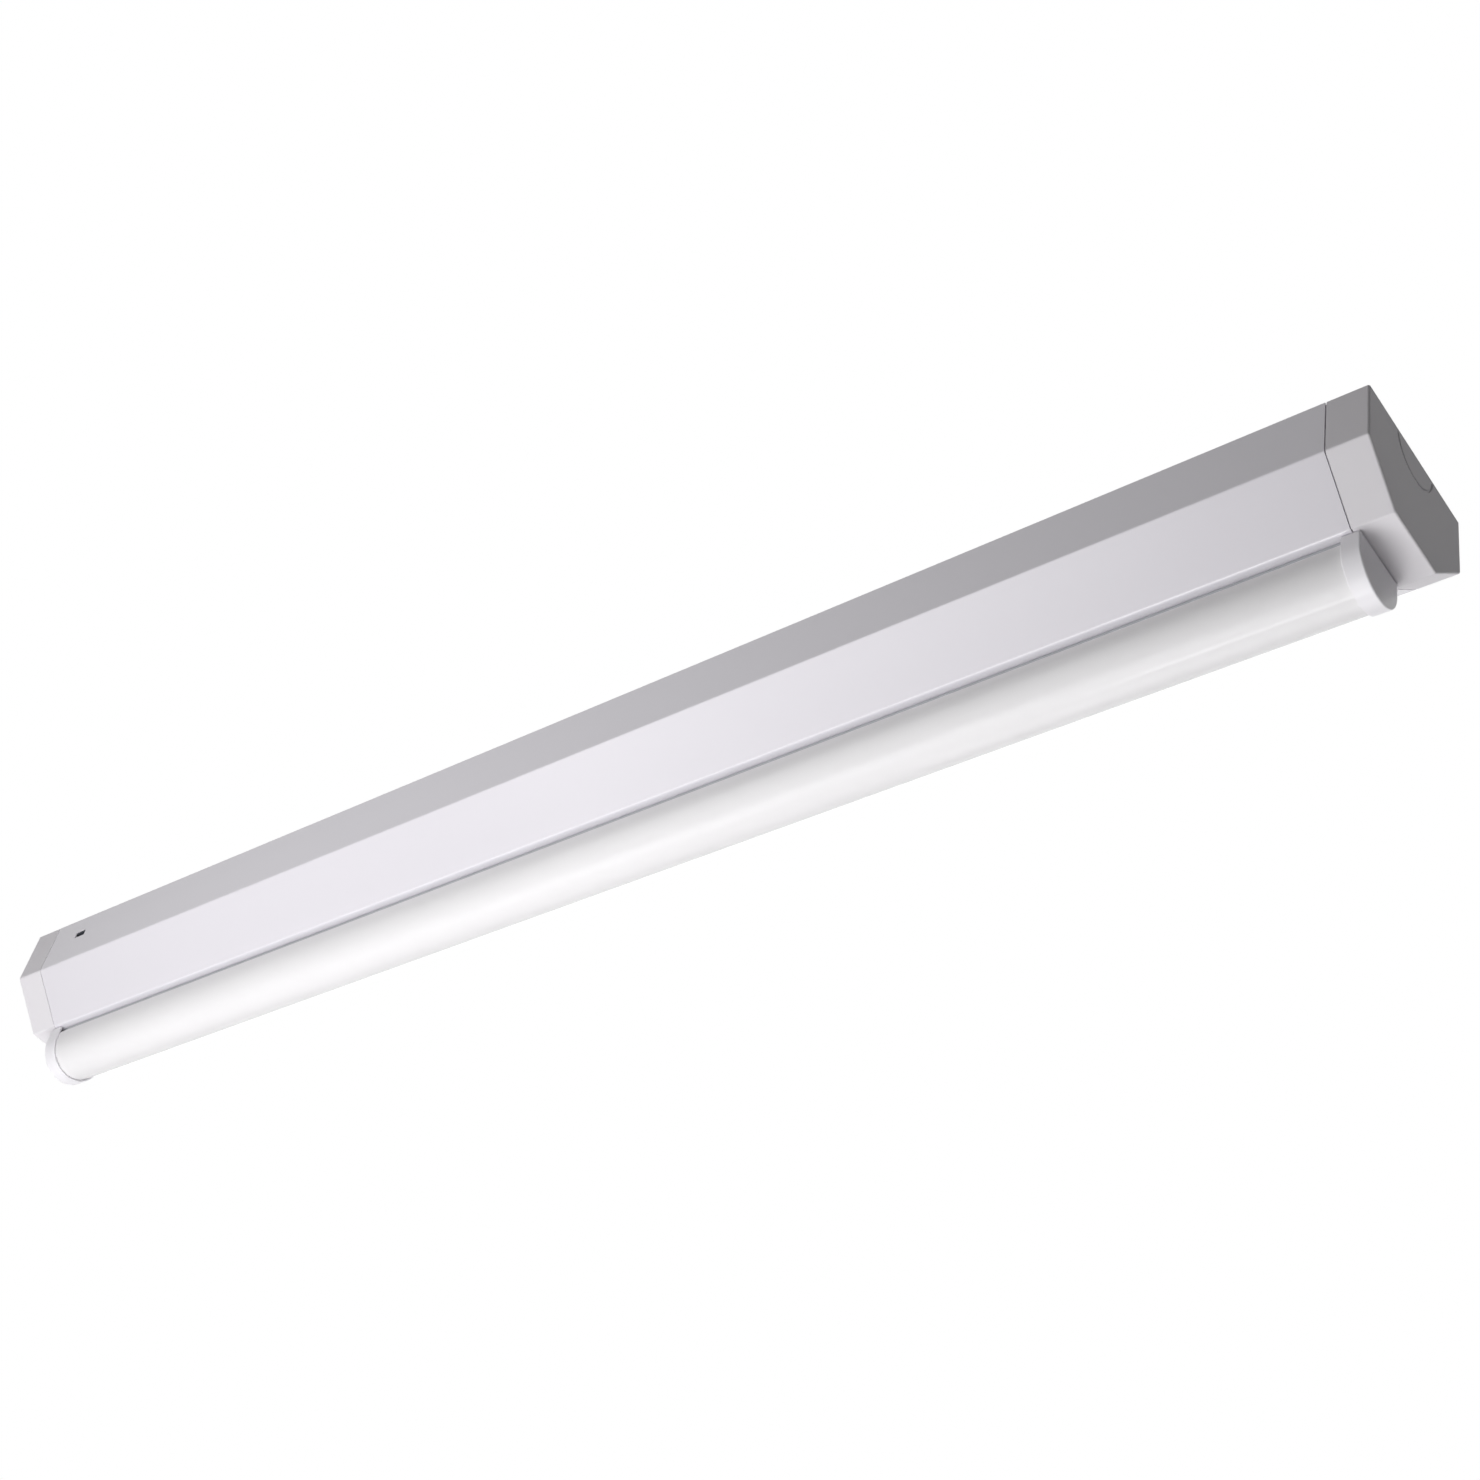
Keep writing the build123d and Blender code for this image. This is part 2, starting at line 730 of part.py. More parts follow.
# Drum choke midway between the transformer and the capacitor at the mains end
with BuildPart() as driver_choke:
    with BuildSketch(Plane.XZ):
        with BuildLine():
            Polyline(
                (choke_x, driver_board_top),
                (choke_x + choke_diameter / 2, driver_board_top),
                (choke_x + choke_diameter / 2, driver_board_top + choke_flange),
                (choke_x + choke_waist / 2, driver_board_top + choke_flange),
                (choke_x + choke_waist / 2, driver_board_top + choke_height - choke_flange),
                (choke_x + choke_diameter / 2, driver_board_top + choke_height - choke_flange),
                (choke_x + choke_diameter / 2, driver_board_top + choke_height),
                (choke_x, driver_board_top + choke_height),
                close=True,
            )
        make_face()
    revolve(axis=Axis((choke_x, 0, 0), (0, 0, 1)))
driver_choke.part.label = "driver_choke"
export_step(driver_choke.part, "parts/driver_choke.step")

with BuildPart() as driver_screws:
    with Locations(*[(x, 0, web_top + driver_ear_thickness) for x in driver_screw_xs]):
        add(pan_head_screw(sheet + driver_ear_thickness))
driver_screws.part.label = "driver_screws"
export_step(driver_screws.part, "parts/driver_screws.step")

# Earth point: a crimped ring lug under a washer and a screw
with BuildPart() as earth_lug:
    with BuildSketch(Plane.XY.offset(web_top)):
        with Locations((earth_x, 0)):
            Circle(lug_radius)
            Rectangle(
                lug_barrel_start + lug_barrel_length / 2,
                2 * lug_barrel_radius,
                align=(Align.MIN, Align.CENTER),
            )
    extrude(amount=lug_sheet)
    with BuildSketch(Plane.YZ.offset(barrel_start)):
        with Locations((0, barrel_level)):
            Circle(lug_barrel_radius)
    extrude(amount=lug_barrel_length)
    with BuildSketch(Plane.YZ.offset(barrel_start)):
        with Locations((0, barrel_level)):
            Circle(mains_wire / 2 + wire_play)
    extrude(amount=lug_barrel_length, mode=Mode.SUBTRACT)
    with Locations((earth_x, 0, web_top)):
        Hole(screw_hole_radius)
earth_lug.part.label = "earth_lug"
export_step(earth_lug.part, "parts/earth_lug.step")

with BuildPart() as earth_washer:
    with BuildSketch(Plane.XY.offset(web_top + lug_sheet)):
        with Locations((earth_x, 0)):
            Circle(washer_radius)
            Circle(screw_hole_radius, mode=Mode.SUBTRACT)
    extrude(amount=washer_thickness)
earth_washer.part.label = "earth_washer"
export_step(earth_washer.part, "parts/earth_washer.step")

with BuildPart() as earth_screw:
    with Locations((earth_x, 0, web_top + lug_sheet + washer_thickness)):
        add(pan_head_screw(sheet + lug_sheet + washer_thickness))
earth_screw.part.label = "earth_screw"
export_step(earth_screw.part, "parts/earth_screw.step")

# Terminal block: three chambers open below, wire entries at both ends, button wells on top
with BuildPart() as terminal_block:
    with BuildSketch(Plane.XY.offset(block_bottom)):
        with Locations((terminal_x, 0)):
            RectangleRounded(terminal_length, terminal_width, terminal_corner)
    extrude(amount=terminal_height)
    fillet(terminal_block.edges().group_by(Axis.Z)[-1], terminal_corner / 2)
    with BuildSketch(Plane.XY.offset(block_bottom)):
        with Locations(*[(terminal_x, y) for y in poles.values()]):
            Rectangle(chamber_length, chamber_width)
    extrude(amount=chamber_height, mode=Mode.SUBTRACT)
    with BuildSketch(Plane.XY.offset(chamber_ceiling)):
        with Locations(*[(button_x, y) for y in poles.values()]):
            Rectangle(button_length + 2 * button_play, button_width + 2 * button_play)
    extrude(amount=block_top - chamber_ceiling, mode=Mode.SUBTRACT)
    with BuildSketch(Plane.YZ.offset(terminal_start)):
        with Locations(*[(y, terminal_wire_level) for y in poles.values()]):
            Circle(mains_wire / 2 + entry_play)
    extrude(amount=terminal_length, mode=Mode.SUBTRACT)
    end_faces = terminal_block.faces().filter_by(Plane.YZ).sort_by(Axis.X)
    mouths = end_faces[0].edges() + end_faces[-1].edges()
    chamfer(mouths.filter_by(GeomType.CIRCLE), entry_funnel)
terminal_block.part.label = "terminal_block"
export_step(terminal_block.part, "parts/terminal_block.step")

with BuildPart() as terminal_base:
    with BuildSketch(Plane.XY.offset(web_top)):
        with Locations((terminal_x, 0)):
            RectangleRounded(terminal_length, terminal_width, terminal_corner)
    extrude(amount=terminal_base_height)
    with BuildSketch(Plane.XY.offset(web_top)):
        with Locations((ear_screw_x, 0)):
            Circle(terminal_ear_radius)
            Rectangle(
                terminal_ear_reach + terminal_corner,
                2 * terminal_ear_radius,
                align=(Align.MIN, Align.CENTER),
            )
    extrude(amount=terminal_ear_thickness)
    with Locations((ear_screw_x, 0, web_top)):
        Hole(screw_hole_radius)
terminal_base.part.label = "terminal_base"
export_step(terminal_base.part, "parts/terminal_base.step")

with BuildPart() as terminal_contacts:
    with BuildSketch(Plane.XY.offset(block_bottom)):
        with Locations(*[(terminal_x, y) for y in poles.values()]):
            Rectangle(chamber_length - 2 * contact_side_play, chamber_width - 2 * contact_side_play)
    extrude(amount=contact_thickness)
terminal_contacts.part.label = "terminal_contacts"
export_step(terminal_contacts.part, "parts/terminal_contacts.step")

# Clamp springs, a pair in each pole
with BuildPart() as terminal_clamps:
    with Locations(*[(terminal_x, y, 0) for y in poles.values()]):
        add(clamp_spring())
terminal_clamps.part.label = "terminal_clamps"
export_step(terminal_clamps.part, "parts/terminal_clamps.step")

with BuildPart() as terminal_screw:
    with Locations((ear_screw_x, 0, web_top + terminal_ear_thickness)):
        add(pan_head_screw(sheet + terminal_ear_thickness))
terminal_screw.part.label = "terminal_screw"
export_step(terminal_screw.part, "parts/terminal_screw.step")

# Release buttons, one a pole, each kept in its well by a flange under the chamber's ceiling
for pole, pole_y in poles.items():
    with BuildPart() as button:
        with BuildSketch(Plane.XY.offset(button_flange_top)):
            with Locations((button_x, pole_y)):
                Rectangle(
                    button_length + 2 * button_flange_reach,
                    chamber_width - 2 * button_flange_play,
                )
        extrude(amount=-button_flange_height)
        with BuildSketch(Plane.XY.offset(button_flange_top)):
            with Locations((button_x, pole_y)):
                Rectangle(button_length, button_width)
        extrude(amount=block_top + button_stand - button_flange_top)
        fillet(button.edges().group_by(Axis.Z)[-1], button_rounding)
        with Locations((button_x, pole_y, block_top + button_stand)):
            Box(
                button_slot_length,
                button_slot_width,
                button_slot_depth,
                align=(Align.CENTER, Align.CENTER, Align.MAX),
                mode=Mode.SUBTRACT,
            )
    button.part.label = "terminal_button_" + pole
    export_step(button.part, "parts/terminal_button_" + pole + ".step")

# Lead bush through the web, and the clip that holds the leads on the way to it
with BuildPart() as lead_bush:
    with Locations((lead_x, 0, web_top)):
        Cylinder(bush_flange_radius, bush_flange_height, align=(Align.CENTER, Align.CENTER, Align.MIN))
        Cylinder(
            bush_sleeve_radius,
            bush_sleeve_length + sheet,
            align=(Align.CENTER, Align.CENTER, Align.MAX),
        )
        Hole(bush_bore_radius)
lead_bush.part.label = "lead_bush"
export_step(lead_bush.part, "parts/lead_bush.step")

with BuildPart() as lead_clip:
    with Locations((clip_x, 0, web_top)):
        Box(clip_length, clip_width, clip_base, align=(Align.CENTER, Align.CENTER, Align.MIN))
    with Locations((clip_x, 0, web_top + clip_base)):
        Box(
            clip_bridge_length,
            clip_bridge_width,
            clip_bridge_height,
            align=(Align.CENTER, Align.CENTER, Align.MIN),
        )
    fillet(lead_clip.edges().group_by(Axis.Z)[-1].filter_by(Axis.X), clip_base)
    with BuildSketch(Plane.YZ.offset(clip_x - clip_bridge_length / 2)):
        with Locations((-lead_side, clip_level), (lead_side, clip_level)):
            Circle(led_lead / 2 + clip_play)
    extrude(amount=clip_bridge_length, mode=Mode.SUBTRACT)
lead_clip.part.label = "lead_clip"
export_step(lead_clip.part, "parts/lead_clip.step")

# Wires. Each route is a list of points with the radius of the arc at each point between.
wire_routes = {
    "wire_earth": {
        "diameter": mains_wire,
        "points": [
            (terminal_start + terminal_insert, 0, terminal_wire_level),
            (mid_screw_x + earth_run_screw, 0, terminal_wire_level),
            (barrel_start + lug_barrel_length + earth_run_barrel, 0, barrel_level),
            (barrel_start + wire_play, 0, barrel_level),
        ],
        "radii": [earth_bend, earth_bend],
    },
}
for name, side in {"wire_line": -1, "wire_neutral": 1}.items():
    terminal_exit = terminal_start - mains_run_terminal
    driver_exit = driver_end + mains_run_driver
    rise_side = side * (pole_pitch + mains_spread)
    fall_side = side * (pole_pitch + mains_gather)
    wire_routes[name] = {
        "diameter": mains_wire,
        "points": [
            (terminal_start + terminal_insert, side * pole_pitch, terminal_wire_level),
            (terminal_exit, side * pole_pitch, terminal_wire_level),
            (terminal_exit - mains_rise_run, rise_side, terminal_wire_level + mains_rise),
            (driver_exit + mains_fall_run, fall_side, mains_level + mains_fall),
            (driver_exit, side * driver_wire_side, mains_level),
            (driver_end - driver_insert, side * driver_wire_side, mains_level),
        ],
        "radii": [mains_bend, mains_bend, mains_bend, mains_bend],
    }
for name, side in {"wire_led_plus": -1, "wire_led_minus": 1}.items():
    wire_routes[name] = {
        "diameter": led_lead,
        "points": [
            (driver_start + driver_insert, side * driver_wire_side, lead_level),
            (driver_start - lead_run_driver, side * driver_wire_side, lead_level),
            (clip_x + lead_run_clip, side * lead_side, clip_level),
            (clip_x - lead_run_clip, side * lead_side, clip_level),
            (lead_x + lead_run_bush, side * lead_side, lead_level),
            (lead_x, side * lead_side, lead_level),
            (lead_x, side * lead_side, board_bottom - lead_tail),
        ],
        "radii": [lead_sweep, lead_sweep, lead_sweep, lead_sweep, lead_bend],
    }

for name, route in wire_routes.items():
    with BuildPart() as wire:
        with BuildLine() as path:
            FilletPolyline(*route["points"], radius=route["radii"])
        with BuildSketch(Plane(origin=path.line @ 0, z_dir=path.line % 0)):
            Circle(route["diameter"] / 2)
        sweep()
    wire.part.label = name
    export_step(wire.part, "parts/" + name + ".step")
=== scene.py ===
import math

import bmesh
import bpy
from mathutils import Matrix, Quaternion, Vector


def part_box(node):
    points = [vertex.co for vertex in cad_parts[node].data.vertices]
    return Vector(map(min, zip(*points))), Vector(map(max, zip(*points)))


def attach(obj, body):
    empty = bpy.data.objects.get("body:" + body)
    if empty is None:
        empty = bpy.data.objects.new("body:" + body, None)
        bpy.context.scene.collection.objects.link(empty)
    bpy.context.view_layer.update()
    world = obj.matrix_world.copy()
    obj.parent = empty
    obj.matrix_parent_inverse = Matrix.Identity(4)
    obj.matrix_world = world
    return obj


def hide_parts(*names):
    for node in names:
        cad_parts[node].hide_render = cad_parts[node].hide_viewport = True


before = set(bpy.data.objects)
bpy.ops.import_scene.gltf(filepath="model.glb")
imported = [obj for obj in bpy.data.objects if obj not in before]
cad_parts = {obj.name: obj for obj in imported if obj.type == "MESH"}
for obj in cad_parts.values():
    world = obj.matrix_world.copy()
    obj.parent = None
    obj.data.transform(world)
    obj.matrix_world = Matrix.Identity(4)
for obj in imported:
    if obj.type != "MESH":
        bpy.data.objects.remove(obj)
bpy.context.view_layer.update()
scene = bpy.context.scene
mm = 0.001


def linear(hexColour):  # sRGB hex to the linear colour that sockets take
    parts = [int(hexColour[i:i + 2], 16) / 255 for i in (1, 3, 5)]
    return [p / 12.92 if p <= 0.04045 else ((p + 0.055) / 1.055) ** 2.4 for p in parts] + [1.0]


def addNode(tree, kind, settings=None, values=None, links=None, to=None):
    node = tree.nodes.new(kind)
    for name, value in (settings or {}).items():
        setattr(node, name, value)
    for socket, value in (values or {}).items():
        node.inputs[socket].default_value = value
    for socket, source in (links or {}).items():
        tree.links.new(source, node.inputs[socket])
    for socket, target in (to or {}).items():
        tree.links.new(node.outputs[socket], target)
    return node


finishes = {}  # Blender material for each of the record's material slots


def startFinish(slot, name, constants):
    material = bpy.data.materials.new(name)
    material.use_nodes = True
    tree = material.node_tree
    shader = tree.nodes["Principled BSDF"]
    for socket, value in constants.items():
        shader.inputs[socket].default_value = linear(value) if isinstance(value, str) else value
    place = addNode(tree, "ShaderNodeTexCoord").outputs["Object"]
    finishes[slot] = material
    return tree, shader, place


def addNoise(tree, vector, size, detail):
    return addNode(tree, "ShaderNodeTexNoise", values={"Scale": 1 / size, "Detail": detail},
                   links={"Vector": vector}).outputs


def stretchAlong(tree, place, length, across):  # a pattern's steps along X and across it, in mm
    return addNode(tree, "ShaderNodeMapping", values={
        "Scale": (1 / (length * mm), 1 / (across * mm), 1 / (across * mm))},
        links={"Vector": place}).outputs["Vector"]


def addBump(tree, shader, height, strength, depth):  # depth in mm
    addNode(tree, "ShaderNodeBump", values={"Strength": strength, "Distance": depth * mm},
            links={"Height": height}, to={"Normal": shader.inputs["Normal"]})


def varyRoughness(tree, shader, value, low, high):
    addNode(tree, "ShaderNodeMapRange", values={"To Min": low, "To Max": high},
            links={"Value": value}, to={"Result": shader.inputs["Roughness"]})


def mixColours(tree, shader, share, ground, mark):
    addNode(tree, "ShaderNodeMix", {"data_type": "RGBA"}, {6: linear(ground), 7: linear(mark)},
            {0: share}, {2: shader.inputs["Base Color"]})


# Powder-coated steel, sprayed and baked: satin white, a faint orange peel breaks up its gloss
tree, shader, place = startFinish("white_steel", "powder-coated steel, sprayed and baked", {
    "Base Color": "#e8e5eb", "Roughness": 0.25, "IOR": 1.5})
peel = addNoise(tree, place, size=2.4 * mm, detail=2.0)
addBump(tree, shader, peel["Fac"], strength=0.5, depth=0.02)
cloud = addNoise(tree, place, size=40 * mm, detail=1.0)
varyRoughness(tree, shader, cloud["Fac"], low=0.22, high=0.28)

# ABS, moulded in a spark-eroded tool: the same white, but a fine even grain leaves it almost without gloss
tree, shader, place = startFinish("white_cap_plastic", "ABS, moulded in a spark-eroded tool", {
    "Base Color": "#e9e6ea", "Roughness": 0.6, "IOR": 1.53, "Specular IOR Level": 0.2})
grain = addNoise(tree, place, size=0.7 * mm, detail=2.0)  # coarser than the real grain, so that it shows
addBump(tree, shader, grain["Fac"], strength=0.35, depth=0.01)

# Polycarbonate filled with titanium white, moulded: the brightest white here, wavy where the wall cooled
tree, shader, place = startFinish(
    "white_gloss_plastic", "polycarbonate filled with titanium white, moulded", {
        "Base Color": "#f6f4f8", "Roughness": 0.34, "IOR": 1.58, "Specular IOR Level": 0.35})
sink = addNoise(tree, place, size=9 * mm, detail=1.0)
addBump(tree, shader, sink["Fac"], strength=0.3, depth=0.05)

# Opal polycarbonate, extruded: light scatters inside, gloss outside with faint draw lines along the length
tree, shader, place = startFinish("opal_plastic", "opal polycarbonate, extruded", {
    "Base Color": "#f5f3f5", "Roughness": 0.26, "IOR": 1.58, "Specular IOR Level": 0.16,
    "Subsurface Weight": 0.5, "Subsurface Radius": (1.0, 1.0, 1.0), "Subsurface Scale": 2.0 * mm})
drawLines = addNoise(tree, stretchAlong(tree, place, length=90, across=0.8), size=1.0, detail=2.0)
addBump(tree, shader, drawLines["Fac"], strength=0.25, depth=0.008)
varyRoughness(tree, shader, drawLines["Fac"], low=0.19, high=0.25)

# Galvanised sheet, hot dipped: crystals of zinc as wide as a pencil, each a slightly other grey and gloss
tree, shader, place = startFinish("galvanised_steel", "galvanised steel, hot dipped", {
    "Base Color": "#b4b6b9", "Metallic": 1.0, "Roughness": 0.4})
warp = addNoise(tree, place, size=5 * mm, detail=3.0)
shift = addNode(tree, "ShaderNodeVectorMath", {"operation": "SCALE"}, {"Scale": 3 * mm},
                {"Vector": warp["Color"]})
bent = addNode(tree, "ShaderNodeVectorMath", {"operation": "ADD"}, links={
    0: place, 1: shift.outputs["Vector"]})
crystal = addNode(tree, "ShaderNodeTexVoronoi", values={"Scale": 1 / (8 * mm)},
                  links={"Vector": bent.outputs["Vector"]})
chance = addNode(tree, "ShaderNodeSeparateColor", links={"Color": crystal.outputs["Color"]}).outputs
grey = addNode(tree, "ShaderNodeValToRGB", links={"Fac": chance["Red"]},
               to={"Color": shader.inputs["Base Color"]})
for stop, colour in zip(grey.color_ramp.elements, ("#adb0b3", "#bdbfc2")):
    stop.color = linear(colour)
varyRoughness(tree, shader, chance["Green"], low=0.34, high=0.46)
addBump(tree, shader, warp["Fac"], strength=0.2, depth=0.03)

# Metals, worked as their names say: name, colour, roughness, grain across and along in mm
metalStock = {
    "zinc_steel": ("zinc-plated steel, barrel plated", "#c0c3c6", 0.32, 0.5, 0.5),
    "spring_steel": ("spring steel strip, hardened blue-black", "#34363d", 0.42, 0.25, 9.0),
    "mill_aluminium": ("aluminium, extruded, mill finish", "#c9cbcd", 0.34, 0.4, 60.0),
    "contact_brass": ("brass strip, stamped", "#cda85c", 0.28, 0.3, 4.0),
}
for slot, (name, colour, roughness, across, length) in metalStock.items():
    # bare metal: the grain stretches reflections along the way that it was worked
    tree, shader, place = startFinish(slot, name, {
        "Base Color": colour, "Metallic": 1.0, "Roughness": roughness})
    grain = addNoise(tree, stretchAlong(tree, place, length, across), size=1.0, detail=3.0)
    varyRoughness(tree, shader, grain["Fac"], low=roughness - 0.08, high=roughness + 0.1)
    addBump(tree, shader, grain["Fac"], strength=0.3, depth=0.01)

# Moulded and coated inner parts: name, colour, roughness, IOR, grain size and depth in mm
mouldedStock = {
    "grey_rubber": ("EPDM rubber, moulded", "#3b3b3d", 0.72, 1.52, 0.5, 0.03),
    "white_board": ("white solder mask on aluminium board, printed", "#e6e5e0", 0.38, 1.5, 0.8, 0.01),
    "led_phosphor": ("silicone over phosphor, dispensed", "#efc653", 0.22, 1.41, 0.3, 0.01),
    "driver_plastic": ("polycarbonate blend, moulded with a light grain", "#dddcd9", 0.5, 1.55, 0.8, 0.02),
    "ferrite": ("ferrite, pressed and fired", "#3a3a3d", 0.62, 1.9, 0.6, 0.04),
    "capacitor_sleeve": ("PVC sleeve, heat shrunk", "#232733", 0.3, 1.53, 2.5, 0.03),
    "terminal_plastic": ("nylon, moulded", "#d9d7cd", 0.4, 1.53, 1.2, 0.02),
    "button_plastic": ("coloured nylon, moulded", "#e2671d", 0.36, 1.53, 1.0, 0.015),
    "wire_brown": ("PVC insulation, extruded brown", "#6a3a22", 0.42, 1.53, 0.6, 0.02),
    "wire_blue": ("PVC insulation, extruded blue", "#2a66c2", 0.42, 1.53, 0.6, 0.02),
    "wire_red": ("PVC insulation, extruded red", "#b5291f", 0.42, 1.53, 0.6, 0.02),
    "wire_black": ("PVC insulation, extruded black", "#26262a", 0.42, 1.53, 0.6, 0.02),
    "wire_green": ("PVC insulation, extruded in two colours", "#3f8f35", 0.42, 1.53, 0.6, 0.02),
}
mouldedTrees = {}
for slot, (name, colour, roughness, ior, size, depth) in mouldedStock.items():
    # a matt or half-gloss skin whose fine grain breaks up the light
    tree, shader, place = startFinish(slot, name, {
        "Base Color": colour, "Roughness": roughness, "IOR": ior})
    grain = addNoise(tree, place, size=size * mm, detail=2.0)
    addBump(tree, shader, grain["Fac"], strength=0.4, depth=depth)
    varyRoughness(tree, shader, grain["Fac"], low=roughness - 0.06, high=roughness + 0.06)
    mouldedTrees[slot] = (tree, shader, place)

# Earth wire: a yellow stripe along the top and the bottom of the green
earthStripe = {"colour": "#e8c81e", "halfWidth": 0.5}
tree, shader, place = mouldedTrees["wire_green"]
sideways = addNode(tree, "ShaderNodeSeparateXYZ", links={"Vector": place})
offCentre = addNode(tree, "ShaderNodeMath", {"operation": "ABSOLUTE"}, links={0: sideways.outputs["Y"]})
inStripe = addNode(tree, "ShaderNodeMath", {"operation": "LESS_THAN"}, {1: earthStripe["halfWidth"] * mm},
                   {0: offCentre.outputs["Value"]})
mixColours(tree, shader, inStripe.outputs["Value"], mouldedStock["wire_green"][1], earthStripe["colour"])

# Driver board: copper tracks that show paler through the green mask
boardPrint = {"mask": "#1c5a33", "track": "#3d8250", "cell": 4.0, "trackShare": 0.09}
tree, shader, place = startFinish(
    "green_board", "green solder mask on glass-epoxy board, etched and printed", {
        "Base Color": boardPrint["mask"], "Roughness": 0.35, "IOR": 1.52})
cells = addNode(tree, "ShaderNodeTexVoronoi", {"feature": "DISTANCE_TO_EDGE", "distance": "EUCLIDEAN"},
                {"Scale": 1 / (boardPrint["cell"] * mm)}, {"Vector": place})
onTrack = addNode(tree, "ShaderNodeMath", {"operation": "LESS_THAN"}, {1: boardPrint["trackShare"]},
                  {0: cells.outputs["Distance"]})
mixColours(tree, shader, onTrack.outputs["Value"], boardPrint["mask"], boardPrint["track"])
print("materials made:", len(finishes))

weld = {"solid": 0.001, "drawn": 0.002, "dish": 0.005}  # mm: points nearer than this become one
hardEdge = math.radians(32)  # edges that turn by more than this are rounded and stay crisp


def addObject(name, mesh):
    obj = bpy.data.objects.new(name, mesh)
    scene.collection.objects.link(obj)
    return obj


def fromBuilder(name, builder):
    bmesh.ops.recalc_face_normals(builder, faces=builder.faces)
    mesh = bpy.data.meshes.new(name)
    builder.to_mesh(mesh)
    builder.free()
    return addObject(name, mesh)


def applyModifiers(obj):  # what the modifiers give becomes the plain mesh
    graph = bpy.context.evaluated_depsgraph_get()
    mesh = bpy.data.meshes.new_from_object(obj.evaluated_get(graph), depsgraph=graph)
    obj.modifiers.clear()
    obj.data = mesh
    return obj


def softenEdges(obj, width, steps=2):  # a small round in mm on every hard edge, flat faces kept flat
    if width:
        bevel = obj.modifiers.new("roundedEdges", "BEVEL")
        bevel.width, bevel.segments = width * mm, steps
        bevel.limit_method, bevel.angle_limit = "ANGLE", hardEdge
        bevel.use_clamp_overlap = False
        applyModifiers(obj)
    obj.data.shade_smooth()
    obj.data.set_sharp_from_angle(angle=hardEdge)
    obj.modifiers.new("flatFaces", "WEIGHTED_NORMAL").keep_sharp = True
    return applyModifiers(obj)


def cutAway(obj, cutter, crossing=False):  # crossing: the cutter's own pieces run through each other
    boolean = obj.modifiers.new("cut", "BOOLEAN")
    boolean.operation, boolean.solver, boolean.object = "DIFFERENCE", "EXACT", cutter
    boolean.use_self = crossing
    applyModifiers(obj)
    bpy.data.objects.remove(cutter)


def handOver(obj, body, slot, *nodes):  # the finished piece takes its body, finish and CAD node
    obj.data.materials.clear()
    obj.data.materials.append(finishes[slot])
    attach(obj, body)
    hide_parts(*nodes)


def runTree(obj, tree, inputs):
    modifier = obj.modifiers.new(tree.name, "NODES")
    modifier.node_group = tree
    sockets = {s.name: s.identifier for s in tree.interface.items_tree if s.in_out == "INPUT"}
    for name, value in inputs.items():
        modifier[sockets[name]] = value
    return applyModifiers(obj)


def newTree(name, inputs):
    tree = bpy.data.node_groups.new(name, "GeometryNodeTree")
    for socket, kind in inputs.items():
        tree.interface.new_socket(socket, in_out="INPUT", socket_type="NodeSocket" + kind)
    tree.interface.new_socket("Mesh", in_out="OUTPUT", socket_type="NodeSocketGeometry")
    return tree, addNode(tree, "NodeGroupInput").outputs


def endTree(tree, source, finish):  # every tree ends in real geometry with its material on it
    real = addNode(tree, "GeometryNodeRealizeInstances", links={"Geometry": source})
    painted = addNode(tree, "GeometryNodeSetMaterial", links={
        "Geometry": real.outputs["Geometry"], "Material": finish})
    addNode(tree, "NodeGroupOutput", links={"Mesh": painted.outputs["Geometry"]})


def solidBoxes(node):  # the box in mm of each separate solid of a CAD node, in order along X
    builder = bmesh.new()
    builder.from_mesh(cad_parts[node].data)
    bmesh.ops.remove_doubles(builder, verts=builder.verts, dist=weld["solid"] * mm)
    boxes, waiting = [], set(builder.verts)
    while waiting:
        solid, front = [], [waiting.pop()]
        while front:
            vert = front.pop()
            solid.append(vert.co / mm)
            near = {edge.other_vert(vert) for edge in vert.link_edges} & waiting
            waiting -= near
            front.extend(near)
        boxes.append((Vector(map(min, zip(*solid))), Vector(map(max, zip(*solid)))))
    builder.free()
    return sorted(boxes, key=lambda box: box[0].x)


def middle(box):
    return (box[0] + box[1]) / 2


# Stations in mm that several pieces share, read from the CAD nodes
screwSolids = {node: solidBoxes(node) for node in (
    "light_bar_screws", "driver_screws", "earth_screw", "terminal_screw")}
leadPlace = middle(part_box("lead_bush")).x / mm
cablePlace = middle(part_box("cable_grommet")).x / mm
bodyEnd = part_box("end_cap_right")[1].x / mm
catchFromEnd, catchLevel = 32.5, -9.4  # the catch noses, one in each side near opposite ends
print("stations read")

# Tree: a section with rounded corners, drawn out along X as a folded or extruded length
sectionTree, given = newTree("drawnSection", {
    "Section": "Geometry", "Start": "Float", "End": "Float", "Finish": "Material"})
outline = addNode(sectionTree, "GeometryNodeMeshToCurve", links={"Mesh": given["Section"]})
cornerRadius = addNode(sectionTree, "GeometryNodeInputNamedAttribute", {"data_type": "FLOAT"},
                       {"Name": "radius"})
cornerSteps = addNode(sectionTree, "GeometryNodeInputNamedAttribute", {"data_type": "INT"},
                      {"Name": "steps"})
rounded = addNode(sectionTree, "GeometryNodeFilletCurve", {"mode": "POLY"}, {"Limit Radius": True}, {
    "Curve": outline.outputs["Curve"], "Radius": cornerRadius.outputs["Attribute"],
    "Count": cornerSteps.outputs["Attribute"]})
startPoint = addNode(sectionTree, "ShaderNodeCombineXYZ", links={"X": given["Start"]})
endPoint = addNode(sectionTree, "ShaderNodeCombineXYZ", links={"X": given["End"]})
run = addNode(sectionTree, "GeometryNodeCurvePrimitiveLine", links={
    "Start": startPoint.outputs["Vector"], "End": endPoint.outputs["Vector"]})
